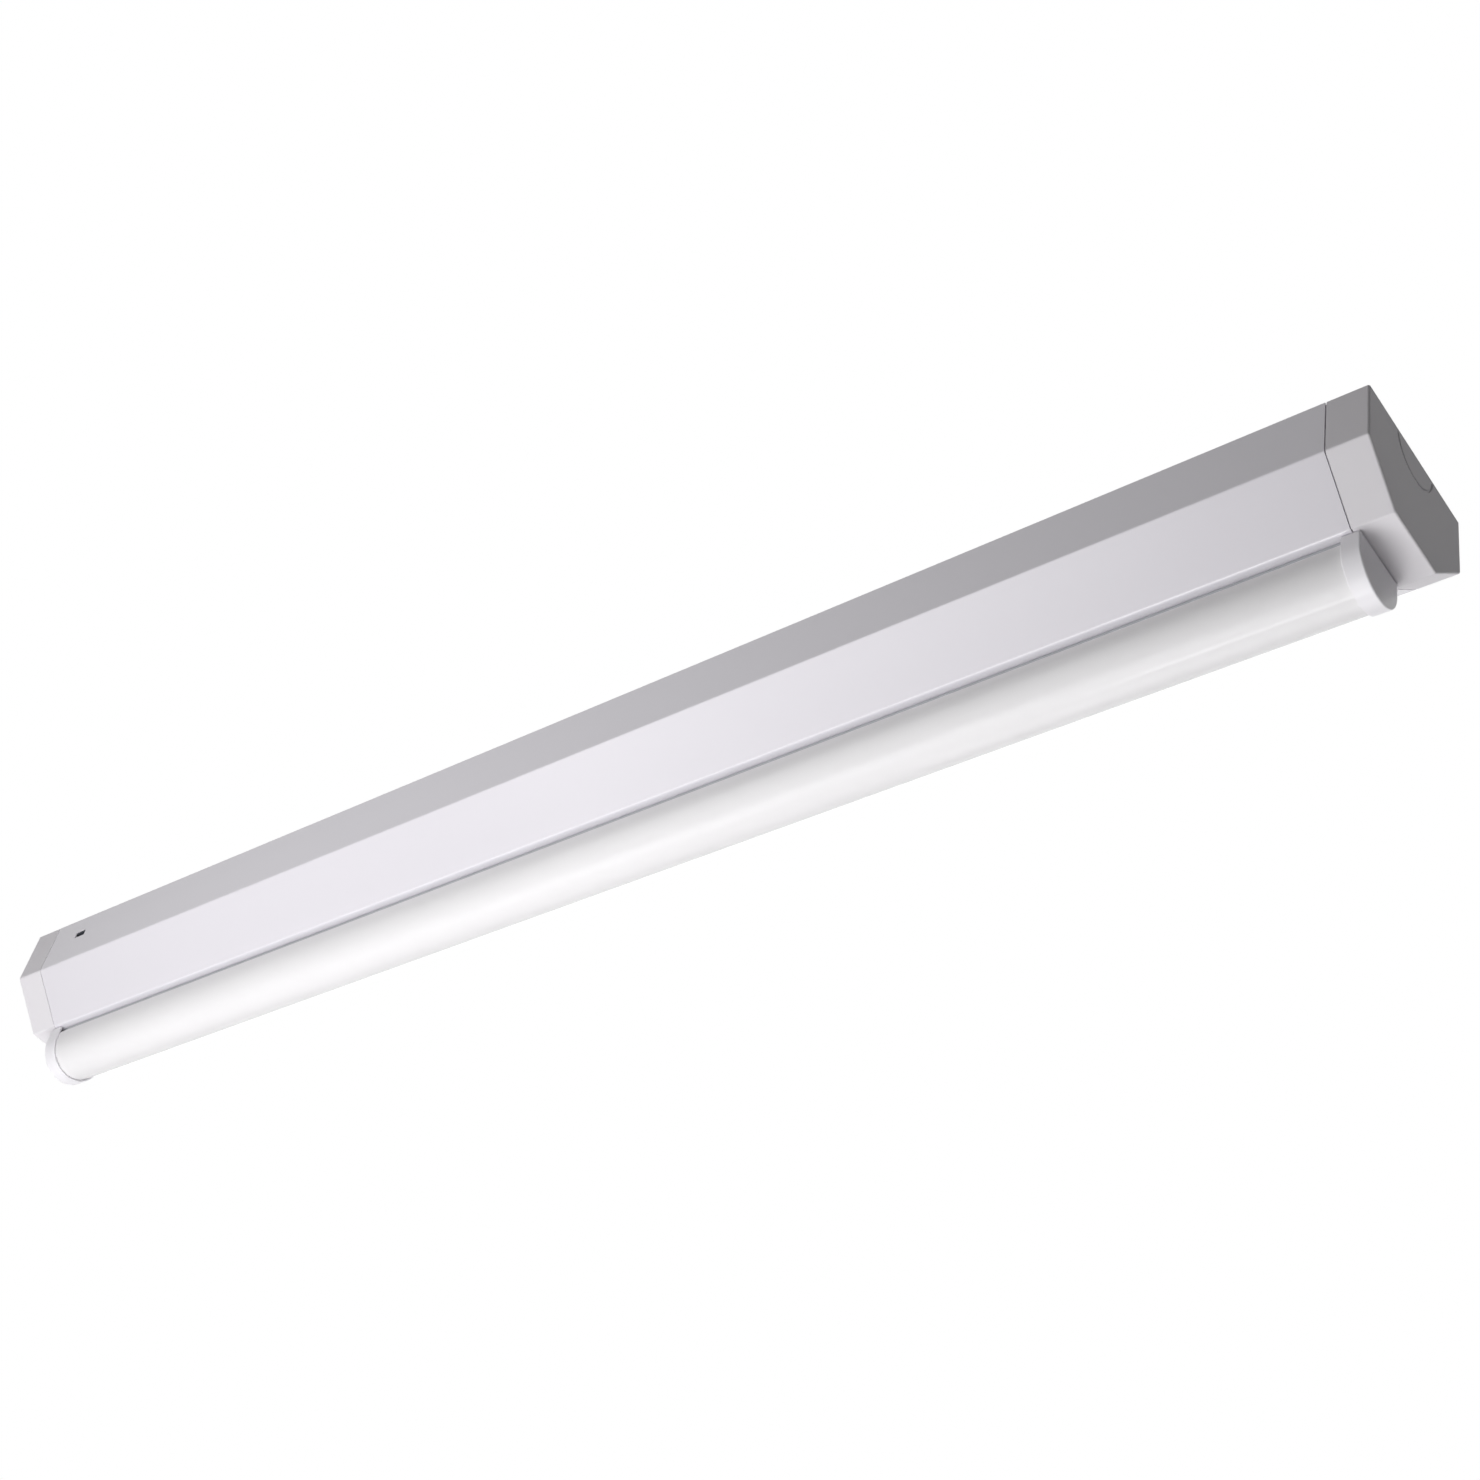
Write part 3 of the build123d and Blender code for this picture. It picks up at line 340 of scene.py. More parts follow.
drawn = addNode(sectionTree, "GeometryNodeCurveToMesh", values={"Fill Caps": True}, links={
    "Curve": run.outputs["Curve"], "Profile Curve": rounded.outputs["Curve"]})
welded = addNode(sectionTree, "GeometryNodeMergeByDistance", values={"Distance": weld["drawn"] * mm},
                 links={"Geometry": drawn.outputs["Mesh"]})
endTree(sectionTree, welded.outputs["Geometry"], given["Finish"])


def drawSection(name, corners, span, slot):  # corners in mm: y, z, radius of the corner, steps round it
    mesh = bpy.data.meshes.new(name)
    # a section lies turned half round in the plane that Curve to Mesh draws it from
    mesh.from_pydata([(-y * mm, -z * mm, 0) for y, z, _, _ in corners],
                     [(i, (i + 1) % len(corners)) for i in range(len(corners))], [])
    for label, kind, values in (("radius", "FLOAT", [r * mm for _, _, r, _ in corners]),
                                ("steps", "INT", [n for _, _, _, n in corners])):
        mesh.attributes.new(label, kind, "POINT").data.foreach_set("value", values)
    obj = runTree(addObject(name, mesh), sectionTree, {
        "Start": span[0], "End": span[1], "Finish": finishes[slot]})
    builder = bmesh.new()
    builder.from_mesh(obj.data)
    bmesh.ops.recalc_face_normals(builder, faces=builder.faces)
    builder.to_mesh(obj.data)
    builder.free()
    return obj


def addBox(builder, centre, size):  # mm
    made = bmesh.ops.create_cube(builder, size=1.0)["verts"]
    bmesh.ops.scale(builder, vec=[s * mm for s in size], verts=made)
    bmesh.ops.translate(builder, vec=[c * mm for c in centre], verts=made)


def addRod(builder, centre, radius, depth, steps=48):  # mm, along Z
    made = bmesh.ops.create_cone(builder, cap_ends=True, segments=steps, radius1=radius * mm,
                                 radius2=radius * mm, depth=depth * mm)["verts"]
    bmesh.ops.translate(builder, vec=[c * mm for c in centre], verts=made)


def turnProfile(builder, profile, centre, steps, closed=True):  # mm: radius and level, turned about Z
    rings = []
    angles = [2 * math.pi * i / steps for i in range(steps)]
    for radius, level in profile:
        points = [(centre[0] + radius * math.cos(a), centre[1] + radius * math.sin(a), centre[2] + level)
                  for a in (angles if radius > 0 else angles[:1])]
        rings.append([builder.verts.new([c * mm for c in point]) for point in points])
    pairs = list(zip(rings, rings[1:] + rings[:1])) if closed else list(zip(rings, rings[1:]))
    for lower, upper in pairs:
        for i in range(steps):
            corners = [lower[i % len(lower)], lower[(i + 1) % len(lower)],
                       upper[(i + 1) % len(upper)], upper[i % len(upper)]]
            distinct = list(dict.fromkeys(corners))
            if len(distinct) > 2:
                builder.faces.new(distinct)


def bendPoints(centre, radius, fromAngle, toAngle, steps=5):  # a round bend of a profile, angles in degrees
    return [(centre[0] + radius * math.cos(a), centre[1] + radius * math.sin(a))
            for a in (math.radians(fromAngle + (toAngle - fromAngle) * i / steps) for i in range(steps + 1))]


# Housing channel: one folded sheet, open to the ceiling
channel = {
    "sideHeight": 23.5,
    "undersideWidth": 26.5,
    "sheet": 0.7,
    "foldRadius": 1.2,
    "tightestFold": 0.3,
    "foldSteps": 8,
    "window": (6.0, 4.0, 3.0),
    "screwHole": 1.85,
    "leadHole": 3.5,
    "throughCut": 4.0,
    "edge": 0.12,
}
low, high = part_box("housing_channel")
halfWidth, top, bottom = high.y / mm, high.z / mm, low.z / mm
slope = math.atan2(-bottom - channel["sideHeight"], halfWidth - channel["undersideWidth"] / 2)


def channelLine(inset):  # corners of the sheet's surface that lies inset inside the outer one
    fold = max(channel["foldRadius"] - inset, channel["tightestFold"])
    side = halfWidth - inset
    shoulder = inset * math.tan((math.pi / 2 - slope) / 2) - channel["sideHeight"]
    foot = channel["undersideWidth"] / 2 - inset * math.tan(slope / 2)
    half = [(side, top, 0, 1), (side, shoulder, fold, channel["foldSteps"]),
            (foot, bottom + inset, fold, channel["foldSteps"])]
    return [(-y, z, r, n) for y, z, r, n in half] + half[::-1]


housingChannel = drawSection("housingChannel", channelLine(0) + channelLine(channel["sheet"])[::-1],
                             (low.x, high.x), "white_steel")
cutter = bmesh.new()
for side in (-1, 1):
    addBox(cutter, (side * (bodyEnd - catchFromEnd), side * halfWidth, catchLevel), channel["window"])
for solid in [s for solids in screwSolids.values() for s in solids]:
    addRod(cutter, (middle(solid).x, 0, bottom), channel["screwHole"], channel["throughCut"])
addRod(cutter, (leadPlace, 0, bottom), channel["leadHole"], channel["throughCut"])
cutAway(housingChannel, fromBuilder("channelCutter", cutter))
handOver(softenEdges(housingChannel, channel["edge"]), "housing", "white_steel", "housing_channel")
print("housing channel folded")

# Diffuser: opal extrusion, lips inside its rim hook over the carrier
tube = {"radius": 11.4, "wall": 1.2, "lipReach": 1.4, "lip": 1.0, "arcSteps": 32, "rim": 0.3, "rimSteps": 4,
        "lipCorner": 0.15, "lipSteps": 3, "edge": 0.1}
low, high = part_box("diffuser")
outer, inside = tube["radius"], tube["radius"] - tube["wall"]
top, bottom = high.z / mm, low.z / mm
lipEdge, underLip = inside - tube["lipReach"], top - tube["lip"]
lipRound = (tube["lipCorner"], tube["lipSteps"])
half = [(outer, bottom, outer, tube["arcSteps"]), (outer, top, tube["rim"], tube["rimSteps"]),
        (lipEdge, top, *lipRound), (lipEdge, underLip, *lipRound), (inside, underLip, *lipRound),
        (inside, bottom + tube["wall"], inside, tube["arcSteps"])]
diffuser = drawSection("diffuserTube", half + [(-y, z, r, n) for y, z, r, n in half[::-1]],
                       (low.x, high.x), "opal_plastic")
handOver(softenEdges(diffuser, tube["edge"]), "housing", "opal_plastic", "diffuser")

# Carrier: aluminium extrusion with the screw channel above and the seat for the board below
carrier = {"foot": 10.2, "neck": 8.5, "seat": 9.8, "channel": 1.85, "channelDepth": 4.4, "footDepth": 2.4,
           "seatDepth": 3.6, "corner": 0.2, "cornerSteps": 3, "leadHole": 3.5, "throughCut": 12.0,
           "edge": 0.08}
low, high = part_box("carrier_profile")
top, bottom = high.z / mm, low.z / mm
foot, neck, seat = carrier["foot"], carrier["neck"], carrier["seat"]
footEnd, seatStart = top - carrier["footDepth"], top - carrier["seatDepth"]
half = [(carrier["channel"], top - carrier["channelDepth"]), (carrier["channel"], top), (foot, top),
        (foot, footEnd), (neck, footEnd), (neck, seatStart), (seat, seatStart), (seat, bottom)]
corners = [(y, z, carrier["corner"], carrier["cornerSteps"])
           for y, z in half + [(-y, z) for y, z in half[::-1]]]
carrierProfile = drawSection("carrierProfile", corners, (low.x, high.x), "mill_aluminium")
cutter = bmesh.new()
addRod(cutter, (leadPlace, 0, (top + bottom) / 2), carrier["leadHole"], carrier["throughCut"])
cutAway(carrierProfile, fromBuilder("carrierCutter", cutter))
handOver(softenEdges(carrierProfile, carrier["edge"]), "housing", "mill_aluminium", "carrier_profile")
print("light bar drawn")

# Ceiling tray: folded galvanised sheet with two fixing slots and a pressed dish round the cable hole
tray = {
    "sheet": 0.8, "foldRadius": 1.3, "foldSteps": 8,
    "slotSpacing": 400.0, "slotLength": 12.0, "slotWidth": 5.0, "slotSteps": 16,
    "dishRadius": 13.0, "dishDepth": 2.4, "dishRim": 17.0, "dishSteps": 64, "drawRadius": 0.9,
    "floorRadius": 0.5, "cableHole": 7.0, "opening": (7.0, 4.0, 4.0), "edge": 0.1,
    "cutStart": 2.0, "throughCut": 5.0, "rimPlay": 0.01,
}
low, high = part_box("ceiling_tray")
outer, bottom, sheet = high.y / mm, low.z / mm, tray["sheet"]
inside = outer - sheet
ceilingTray = drawSection("ceilingTray", [
    (-outer, bottom, 0, 1), (-outer, 0, tray["foldRadius"], tray["foldSteps"]),
    (outer, 0, tray["foldRadius"], tray["foldSteps"]), (outer, bottom, 0, 1), (inside, bottom, 0, 1),
    (inside, -sheet, tray["foldRadius"] - sheet, tray["foldSteps"]),
    (-inside, -sheet, tray["foldRadius"] - sheet, tray["foldSteps"]), (-inside, bottom, 0, 1)],
    (low.x, high.x), "galvanised_steel")
cutter = bmesh.new()
slotRadius = tray["slotWidth"] / 2
slotReach = tray["slotLength"] / 2 - slotRadius
for x in (-tray["slotSpacing"] / 2, tray["slotSpacing"] / 2):  # round-ended, drawn as one ring of points
    ring = [(x + math.copysign(slotReach, math.cos(a)) + slotRadius * math.cos(a), slotRadius * math.sin(a))
            for a in (math.pi * (i + 0.5) / tray["slotSteps"] for i in range(2 * tray["slotSteps"]))]
    face = cutter.faces.new([cutter.verts.new((px * mm, py * mm, tray["cutStart"] * mm)) for px, py in ring])
    pushed = bmesh.ops.extrude_face_region(cutter, geom=[face])["geom"]
    bmesh.ops.translate(cutter, vec=(0, 0, -tray["throughCut"] * mm),
                        verts=[v for v in pushed if isinstance(v, bmesh.types.BMVert)])
for side in (-1, 1):
    addBox(cutter, (side * (bodyEnd - catchFromEnd), side * outer, catchLevel), tray["opening"])
addRod(cutter, (cablePlace, 0, 0), tray["dishRim"], tray["throughCut"], steps=tray["dishSteps"])
cutAway(ceilingTray, fromBuilder("trayCutter", cutter))

wall, depth = tray["dishRadius"], -tray["dishDepth"]
drawRadius, floorRadius = tray["drawRadius"], tray["floorRadius"]
floorBend = (wall - floorRadius, depth + floorRadius)
shell = [(tray["dishRim"], 0)] + bendPoints((wall + drawRadius, -drawRadius), drawRadius, 90, 180)
shell += bendPoints(floorBend, floorRadius, 0, -90)
shell += [(tray["cableHole"], depth), (tray["cableHole"], depth - sheet)]
shell += bendPoints(floorBend, floorRadius + sheet, -90, 0)
shell += [(wall + sheet, -sheet - tray["edge"]), (tray["dishRim"], -sheet)]
builder = bmesh.new()
builder.from_mesh(ceilingTray.data)
rimFaces = [f for f in builder.faces if all(
    abs(math.hypot(v.co.x / mm - cablePlace, v.co.y / mm) - tray["dishRim"]) < tray["rimPlay"]
    for v in f.verts)]
bmesh.ops.delete(builder, geom=rimFaces, context="FACES_ONLY")
turnProfile(builder, shell, (cablePlace, 0, 0), steps=tray["dishSteps"], closed=False)
bmesh.ops.remove_doubles(builder, verts=builder.verts, dist=weld["dish"] * mm)
bmesh.ops.recalc_face_normals(builder, faces=builder.faces)
builder.to_mesh(ceilingTray.data)
builder.free()
handOver(softenEdges(ceilingTray, tray["edge"]), "tray", "galvanised_steel", "ceiling_tray")
print("ceiling tray folded")

# Pan head screws: tree with a thread drawn along a spiral, the head turned and its cross pressed beforehand
screw = {
    "headRadius": 3.5, "headHeight": 2.2, "rounding": 0.8, "headSteps": 32,
    "crossLength": 4.0, "crossWidth": 0.8, "crossDepth": 1.3, "edge": 0.06,
    "core": 1.3, "coreSides": 20, "thread": 0.42, "flankSides": 3, "pitch": 1.2, "turnSteps": 20,
    "threadShare": 0.92,  # of the shank, the tip stays plain
}
screwTree, given = newTree("panHeadScrews", {
    "Places": "Geometry", "Head": "Object", "Shank": "Float", "Core": "Float", "Thread": "Float",
    "Pitch": "Float", "Seed": "Int", "Finish": "Material"})
head = addNode(screwTree, "GeometryNodeObjectInfo", links={"Object": given["Head"]})
halfShank = addNode(screwTree, "ShaderNodeMath", {"operation": "MULTIPLY"}, {1: -0.5}, {0: given["Shank"]})
downHalf = addNode(screwTree, "ShaderNodeCombineXYZ", links={"Z": halfShank.outputs["Value"]})
core = addNode(screwTree, "GeometryNodeMeshCylinder", values={"Vertices": screw["coreSides"]}, links={
    "Radius": given["Core"], "Depth": given["Shank"]})
coreDown = addNode(screwTree, "GeometryNodeTransform", links={
    "Geometry": core.outputs["Mesh"], "Translation": downHalf.outputs["Vector"]})
turns = addNode(screwTree, "ShaderNodeMath", {"operation": "DIVIDE"}, links={
    0: given["Shank"], 1: given["Pitch"]})
threadHeight = addNode(screwTree, "ShaderNodeMath", {"operation": "MULTIPLY"}, {1: -screw["threadShare"]},
                       {0: given["Shank"]})
helix = addNode(screwTree, "GeometryNodeCurveSpiral", values={"Resolution": screw["turnSteps"]}, links={
    "Rotations": turns.outputs["Value"], "Start Radius": given["Core"], "End Radius": given["Core"],
    "Height": threadHeight.outputs["Value"]})
flank = addNode(screwTree, "GeometryNodeCurvePrimitiveCircle", {"mode": "RADIUS"},
                {"Resolution": screw["flankSides"]}, {"Radius": given["Thread"]})
thread = addNode(screwTree, "GeometryNodeCurveToMesh", values={"Fill Caps": True}, links={
    "Curve": helix.outputs["Curve"], "Profile Curve": flank.outputs["Curve"]})
whole = addNode(screwTree, "GeometryNodeJoinGeometry")
for part in (thread.outputs["Mesh"], coreDown.outputs["Geometry"], head.outputs["Geometry"]):
    screwTree.links.new(part, whole.inputs["Geometry"])
spin = addNode(screwTree, "FunctionNodeRandomValue", {"data_type": "FLOAT"}, {3: math.tau},
               {"Seed": given["Seed"]})
turned = addNode(screwTree, "ShaderNodeCombineXYZ", links={"Z": spin.outputs[1]})
placed = addNode(screwTree, "GeometryNodeInstanceOnPoints", links={
    "Points": given["Places"], "Instance": whole.outputs["Geometry"], "Rotation": turned.outputs["Vector"]})
endTree(screwTree, placed.outputs["Instances"], given["Finish"])

screwSets = {"lightBarScrews": "light_bar_screws", "driverScrews": "driver_screws",
             "earthScrew": "earth_screw", "terminalScrew": "terminal_screw"}
builder = bmesh.new()
headTop, headEdge, rounding = screw["headHeight"], screw["headRadius"], screw["rounding"]
profile = [(0, 0), (headEdge, 0)]
profile += bendPoints((headEdge - rounding, headTop - rounding), rounding, 0, 90)
profile += [(0, headTop)]
turnProfile(builder, profile, (0, 0, 0), steps=screw["headSteps"], closed=False)
screwHead = fromBuilder("screwHead", builder)
cutter = bmesh.new()
crossSize = (screw["crossLength"], screw["crossWidth"])
for length, width in (crossSize, crossSize[::-1]):
    addBox(cutter, (0, 0, headTop), (length, width, 2 * screw["crossDepth"]))
cutAway(screwHead, fromBuilder("crossCutter", cutter), crossing=True)
softenEdges(screwHead, screw["edge"], steps=1)
for seed, (piece, node) in enumerate(screwSets.items()):
    solids = screwSolids[node]
    level = solids[0][1].z - headTop  # the head's underside
    mesh = bpy.data.meshes.new(piece)
    mesh.from_pydata([(middle(s).x * mm, 0, level * mm) for s in solids], [], [])
    made = runTree(addObject(piece, mesh), screwTree, {
        "Head": screwHead, "Shank": (level - solids[0][0].z) * mm, "Core": screw["core"] * mm,
        "Thread": screw["thread"] * mm, "Pitch": screw["pitch"] * mm, "Seed": seed,
        "Finish": finishes["zinc_steel"]})
    handOver(made, "housing", "zinc_steel", node)
bpy.data.objects.remove(screwHead)
print("screws set:", len(screwSets))

# LED chips: tree that sets one chip at every step of the board, the white cup and its phosphor in turn
ledTree, given = newTree("chipRow", {
    "Start": "Vector", "Step": "Vector", "Count": "Int", "Chip": "Object", "Finish": "Material"})
row = addNode(ledTree, "GeometryNodeMeshLine", {"mode": "OFFSET"}, links={
    "Count": given["Count"], "Start Location": given["Start"], "Offset": given["Step"]})
chip = addNode(ledTree, "GeometryNodeObjectInfo", links={"Object": given["Chip"]})
placed = addNode(ledTree, "GeometryNodeInstanceOnPoints", links={
    "Points": row.outputs["Mesh"], "Instance": chip.outputs["Geometry"]})
endTree(ledTree, placed.outputs["Instances"], given["Finish"])

led = {"cupWall": 0.35, "cupDepth": 0.3, "cupTaper": 0.1, "phosphor": 0.2, "sunk": 0.06, "edge": 0.06,
       "rounding": 0.08}
chips = solidBoxes("led_chips")
firstChip, pitch = middle(chips[0]), middle(chips[1]).x - middle(chips[0]).x
chipSize = chips[0][1] - chips[0][0]
builder = bmesh.new()
addBox(builder, (0, 0, 0), chipSize)
lightFace = min(builder.faces, key=lambda f: f.calc_center_median().z)
bmesh.ops.inset_region(builder, faces=[lightFace], thickness=led["cupWall"] * mm)
bmesh.ops.inset_region(builder, faces=[lightFace], thickness=led["cupTaper"] * mm,
                       depth=-led["cupDepth"] * mm)
cup = softenEdges(fromBuilder("ledCup", builder), led["edge"], steps=1)
builder = bmesh.new()
inset = 2 * led["cupWall"] + led["cupTaper"]
addBox(builder, (0, 0, led["sunk"] + led["phosphor"] / 2 - chipSize.z / 2),
       (chipSize.x - inset, chipSize.y - inset, led["phosphor"]))
dome = softenEdges(fromBuilder("ledDome", builder), led["rounding"])
for piece, source, slot in (("ledCups", cup, "white_board"), ("ledPhosphor", dome, "led_phosphor")):
    made = runTree(addObject(piece, bpy.data.meshes.new(piece)), ledTree, {
        "Start": firstChip * mm, "Step": (pitch * mm, 0.0, 0.0), "Count": len(chips), "Chip": source,
        "Finish": finishes[slot]})
    handOver(made, "housing", slot, "led_chips")
    bpy.data.objects.remove(source)
print("LED chips set:", len(chips))

# Earth washer: tree that sets twisted teeth round a flat ring
washerTree, given = newTree("toothedWasher", {
    "Ring": "Geometry", "Teeth": "Int", "Radius": "Float", "Tooth": "Vector", "Twist": "Float",
    "Centre": "Vector", "Finish": "Material"})
spots = addNode(washerTree, "GeometryNodeMeshCircle", links={
    "Vertices": given["Teeth"], "Radius": given["Radius"]})
index = addNode(washerTree, "GeometryNodeInputIndex")
share = addNode(washerTree, "ShaderNodeMath", {"operation": "DIVIDE"}, links={
    0: index.outputs["Index"], 1: given["Teeth"]})
bearing = addNode(washerTree, "ShaderNodeMath", {"operation": "MULTIPLY"}, {1: math.tau},
                  {0: share.outputs["Value"]})
facing = addNode(washerTree, "ShaderNodeCombineXYZ", links={
    "X": given["Twist"], "Z": bearing.outputs["Value"]})
tooth = addNode(washerTree, "GeometryNodeMeshCube", links={"Size": given["Tooth"]})
teeth = addNode(washerTree, "GeometryNodeInstanceOnPoints", links={
    "Points": spots.outputs["Mesh"], "Instance": tooth.outputs["Mesh"], "Rotation": facing.outputs["Vector"]})
whole = addNode(washerTree, "GeometryNodeJoinGeometry")
for part in (given["Ring"], teeth.outputs["Instances"]):
    washerTree.links.new(part, whole.inputs["Geometry"])
placed = addNode(washerTree, "GeometryNodeTransform", links={
    "Geometry": whole.outputs["Geometry"], "Translation": given["Centre"]})
endTree(washerTree, placed.outputs["Geometry"], given["Finish"])

washer = {"bore": 1.85, "ring": 3.1, "ringSteps": 48, "sheet": 0.35, "teeth": 12, "toothWidth": 0.75,
          "twist": 24.0, "edge": 0.05}
low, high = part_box("earth_washer")
outer = (high.x - low.x) / 2 / mm
builder = bmesh.new()
bore, ring, halfSheet = washer["bore"], washer["ring"], washer["sheet"] / 2
turnProfile(builder, [(bore, -halfSheet), (ring, -halfSheet), (ring, halfSheet), (bore, halfSheet)],
            (0, 0, 0), steps=washer["ringSteps"])
toothLength = outer - ring + washer["sheet"]  # the root of a tooth lies inside the ring
toothSize = (toothLength, washer["toothWidth"], washer["sheet"])
earthWasher = runTree(fromBuilder("earthWasher", builder), washerTree, {
    "Teeth": washer["teeth"], "Radius": (outer - toothLength / 2) * mm,
    "Tooth": [s * mm for s in toothSize], "Twist": math.radians(washer["twist"]),
    "Centre": middle((low, high)), "Finish": finishes["zinc_steel"]})
handOver(softenEdges(earthWasher, washer["edge"], steps=1), "housing", "zinc_steel", "earth_washer")
print("earth washer set with", washer["teeth"], "teeth")

# CAD nodes whose form is right: a merged copy with its edges rounded, so that light catches them
dressed = {  # piece: CAD node, body, slot, edge radius in mm
    "endCapLeft": ("end_cap_left", "end_cap_left", "white_cap_plastic", 0.25),
    "endCapRight": ("end_cap_right", "end_cap_right", "white_cap_plastic", 0.25),
    "barCapLeft": ("bar_cap_left", "housing", "white_gloss_plastic", 0.3),
    "barCapRight": ("bar_cap_right", "housing", "white_gloss_plastic", 0.3),
    "cableGrommet": ("cable_grommet", "tray", "grey_rubber", 0.35),
    "catchSprings": ("catch_springs", "tray", "spring_steel", 0.08),
    "ledBoard": ("led_board", "housing", "white_board", 0.08),
    "driverBase": ("driver_base", "housing", "driver_plastic", 0.3),
    "driverLid": ("driver_lid", "housing", "driver_plastic", 0.3),
    "driverBoard": ("driver_board", "housing", "green_board", 0.1),
    "driverTransformer": ("driver_transformer", "housing", "ferrite", 0.2),
    "driverCapacitors": ("driver_capacitors", "housing", "capacitor_sleeve", 0.0),
    "driverChoke": ("driver_choke", "housing", "ferrite", 0.2),
    "earthLug": ("earth_lug", "housing", "zinc_steel", 0.1),
    "terminalBlock": ("terminal_block", "housing", "terminal_plastic", 0.15),
    "terminalBase": ("terminal_base", "housing", "terminal_plastic", 0.2),
    "terminalContacts": ("terminal_contacts", "housing", "contact_brass", 0.1),
    "terminalClamps": ("terminal_clamps", "housing", "spring_steel", 0.06),
    "terminalButtonLine": ("terminal_button_line", "terminal_button_line", "button_plastic", 0.1),
    "terminalButtonEarth": ("terminal_button_earth", "terminal_button_earth", "button_plastic", 0.1),
    "terminalButtonNeutral": ("terminal_button_neutral", "terminal_button_neutral", "button_plastic", 0.1),
    "leadBush": ("lead_bush", "housing", "grey_rubber", 0.2),
    "leadClip": ("lead_clip", "housing", "terminal_plastic", 0.15),
    "wireLine": ("wire_line", "housing", "wire_brown", 0.0),
    "wireNeutral": ("wire_neutral", "housing", "wire_blue", 0.0),
    "wireEarth": ("wire_earth", "housing", "wire_green", 0.0),
    "wireLedPlus": ("wire_led_plus", "housing", "wire_red", 0.0),
    "wireLedMinus": ("wire_led_minus", "housing", "wire_black", 0.0),
}
flatAngle = math.radians(0.3)  # faces that turn by less than this are one face
for piece, (node, body, slot, edge) in dressed.items():
    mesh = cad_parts[node].data.copy()
    for spare in [a.name for a in mesh.attributes if a.name in ("custom_normal", "sharp_face", "sharp_edge")]:
        mesh.attributes.remove(mesh.attributes[spare])
    builder = bmesh.new()
    builder.from_mesh(mesh)
    bmesh.ops.remove_doubles(builder, verts=builder.verts, dist=weld["solid"] * mm)
    bmesh.ops.dissolve_limit(builder, angle_limit=flatAngle, verts=builder.verts, edges=builder.edges)
    builder.to_mesh(mesh)
    builder.free()
    handOver(softenEdges(addObject(piece, mesh), edge), body, slot, node)
print("CAD nodes dressed:", len(dressed))

# Studio: a pale floor far below, because the light hangs from a ceiling, and soft lamps round it
studio = {
    "floorLevel": -1.25,
    "floorSize": 12.0,
    "floorColour": "#f2f2f2",
    "floorRoughness": 0.8,
    "floorGlow": 0.55,
    "ambient": 0.06,
    "lamps": {  # name: place and aim in metres, size along and across, power in watts
        "broadBelow": ((-0.28, -0.32, -1.0), (-0.28, -0.32, 0.0), (1.2, 0.6), 7.1),
        "stripBelow": ((-0.02, 0.13, -0.97), (-0.02, 0.13, 0.0), (0.36, 0.05), 1.8),
        "softBehind": ((-0.05, 0.6, -0.75), (0.0, 0.0, -0.03), (0.6, 0.5), 1.9),
        "softFront": ((-0.13, -0.42, -0.12), (0.0, 0.0, -0.03), (0.4, 0.4), 0.92),
        "softBack": ((-0.1, 0.75, 0.3), (0.0, 0.0, -0.015), (0.6, 0.3), 1.6),
        "softRight": ((1.3, 0.1, -0.35), (0.3, 0.0, -0.03), (0.5, 0.5), 0.5),
        "softAbove": ((0.0, 0.5, 1.1), (0.0, 0.0, 0.0), (1.2, 0.8), 5.0),
    },
    "unmirrored": ("softBack",),  # its image would draw a line along the tube's lower edge
}


def addSeen(tree):  # 1 for rays from the camera, from gloss and through clear pieces, 0 for the light itself
    path = addNode(tree, "ShaderNodeLightPath")
    direct = addNode(tree, "ShaderNodeMath", {"operation": "MAXIMUM"}, links={
        0: path.outputs["Is Camera Ray"], 1: path.outputs["Is Glossy Ray"]})
    return addNode(tree, "ShaderNodeMath", {"operation": "MAXIMUM"}, links={
        0: direct.outputs["Value"], 1: path.outputs["Is Transmission Ray"]}).outputs["Value"]


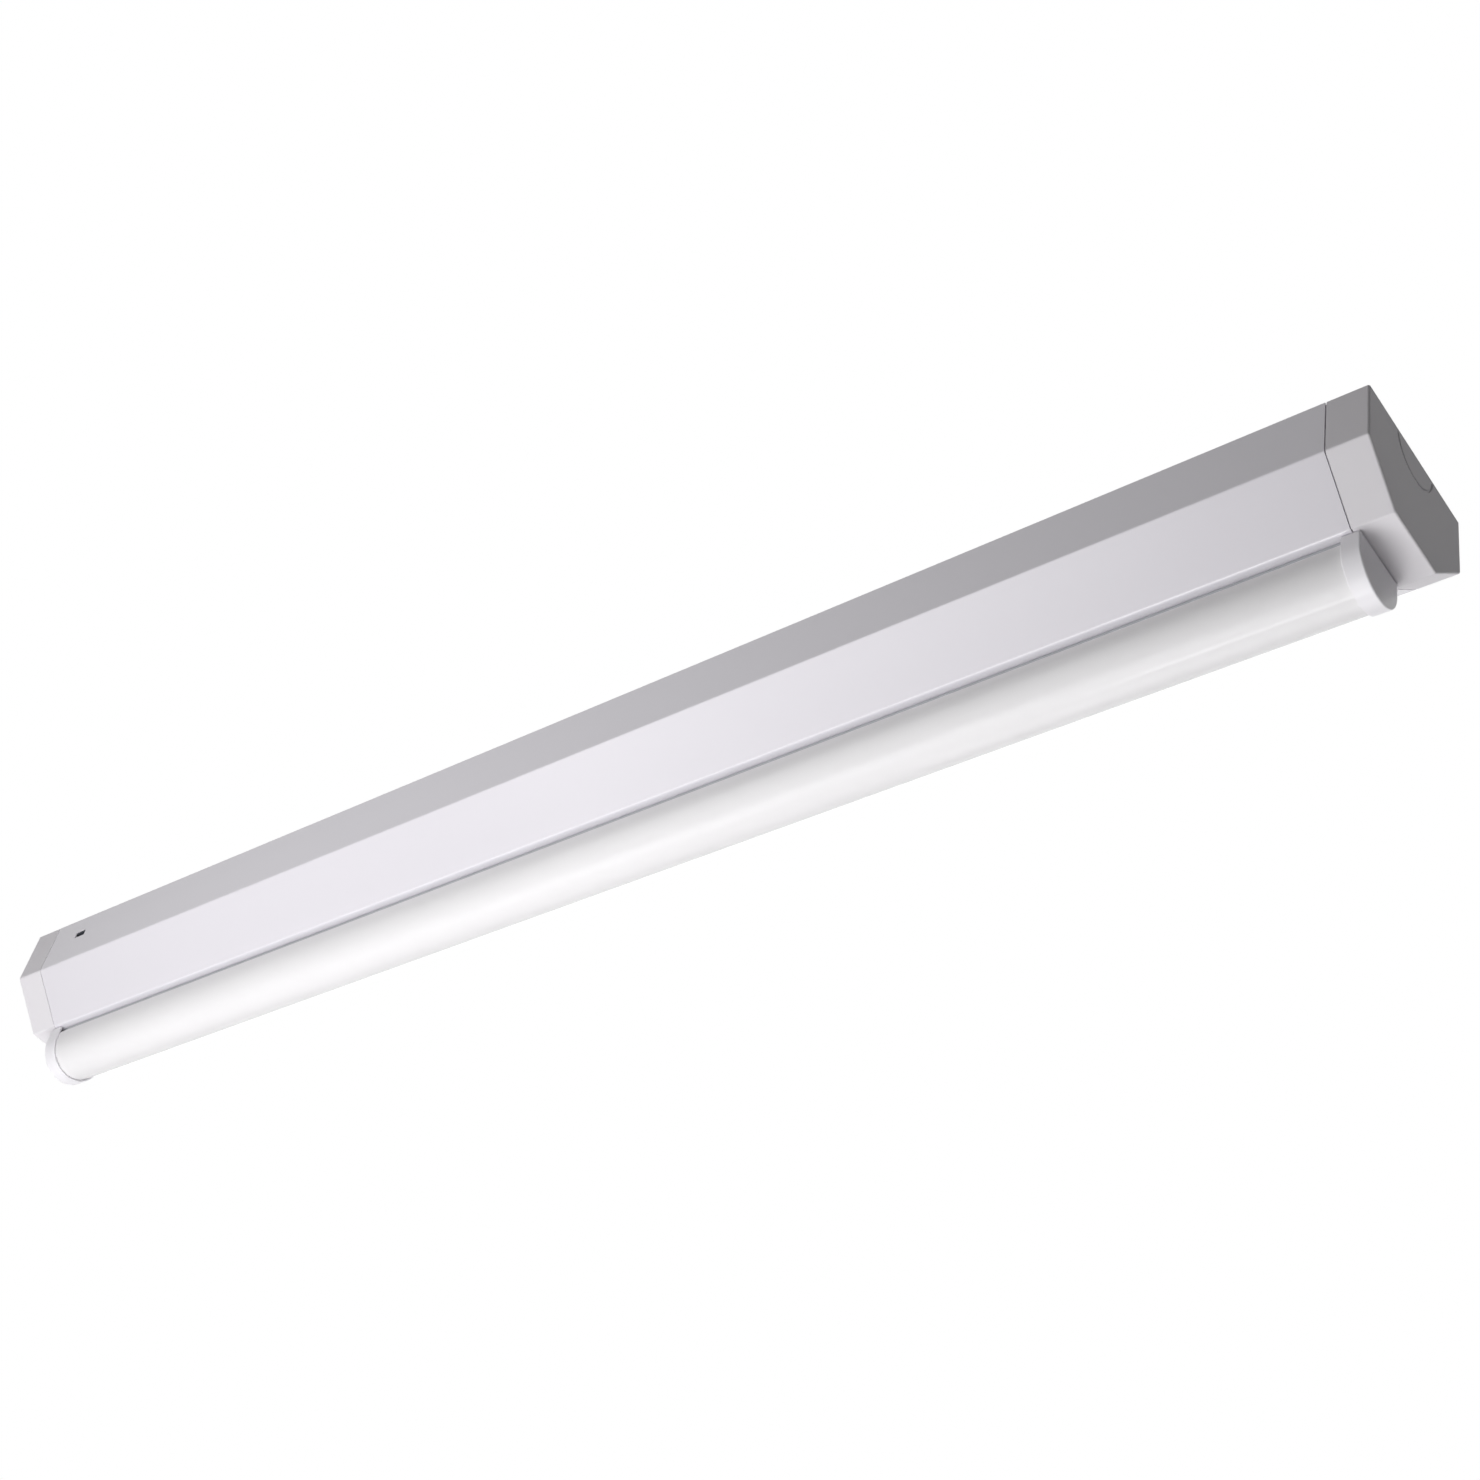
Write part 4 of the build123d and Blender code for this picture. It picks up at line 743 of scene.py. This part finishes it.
builder = bmesh.new()
bmesh.ops.create_grid(builder, x_segments=1, y_segments=1, size=studio["floorSize"] / 2)
bmesh.ops.translate(builder, vec=(0, 0, studio["floorLevel"]), verts=builder.verts)
floor = fromBuilder("studioFloor", builder)
floorPaint = bpy.data.materials.new("matt emulsion, rolled")
floorPaint.use_nodes = True
tree = floorPaint.node_tree
paint = tree.nodes["Principled BSDF"]
paint.inputs["Base Color"].default_value = linear(studio["floorColour"])
paint.inputs["Roughness"].default_value = studio["floorRoughness"]
glow = addNode(tree, "ShaderNodeMath", {"operation": "MULTIPLY"}, {1: studio["floorGlow"]},
               {0: addSeen(tree)})
lift = addNode(tree, "ShaderNodeEmission", links={"Strength": glow.outputs["Value"]})
addNode(tree, "ShaderNodeAddShader", links={0: paint.outputs["BSDF"], 1: lift.outputs["Emission"]},
        to={"Shader": tree.nodes["Material Output"].inputs["Surface"]})
floor.data.materials.append(floorPaint)

for name, (place, aim, size, power) in studio["lamps"].items():
    lamp = bpy.data.lights.new(name, "AREA")
    lamp.shape, lamp.size, lamp.size_y, lamp.energy = "RECTANGLE", size[0], size[1], power
    holder = bpy.data.objects.new(name, lamp)
    holder.location = place
    back = (Vector(place) - Vector(aim)).normalized()  # a lamp shines along its own -Z
    across = back.cross((1, 0, 0)).normalized()
    holder.rotation_euler = Matrix((across.cross(back), across, back)).transposed().to_euler()
    holder.visible_camera = False
    holder.visible_glossy = name not in studio["unmirrored"]
    scene.collection.objects.link(holder)

world = bpy.data.worlds.new("white studio")
world.use_nodes = True
world.node_tree.nodes.clear()
scene.world = world
tree = world.node_tree
soft = addNode(tree, "ShaderNodeBackground", values={"Color": (1, 1, 1, 1), "Strength": studio["ambient"]})
white = addNode(tree, "ShaderNodeBackground", values={"Color": (1, 1, 1, 1), "Strength": 1.0})
mixed = addNode(tree, "ShaderNodeMixShader", links={
    0: addSeen(tree), 1: soft.outputs["Background"], 2: white.outputs["Background"]})
addNode(tree, "ShaderNodeOutputWorld", links={"Surface": mixed.outputs["Shader"]})
scene.view_settings.view_transform = "Standard"

# Camera: below the light and to its right, turned a little about its own axis
shot = {"place": (0.51089, -0.43408, -0.59756), "aim": (0.06861, -0.01446, -0.03), "turn": 14.383,
        "lens": 58.845, "sensor": 36.0, "nearest": 0.05, "farthest": 50.0}
camera = bpy.data.objects.new("camera", bpy.data.cameras.new("camera"))
camera.data.lens, camera.data.sensor_width = shot["lens"], shot["sensor"]
camera.data.clip_start, camera.data.clip_end = shot["nearest"], shot["farthest"]
camera.location = shot["place"]
look = (Vector(shot["aim"]) - Vector(shot["place"])).to_track_quat("-Z", "Y")
camera.rotation_mode = "QUATERNION"
camera.rotation_quaternion = look @ Quaternion((0, 0, 1), math.radians(shot["turn"]))
scene.collection.objects.link(camera)
scene.camera = camera
print("studio set")
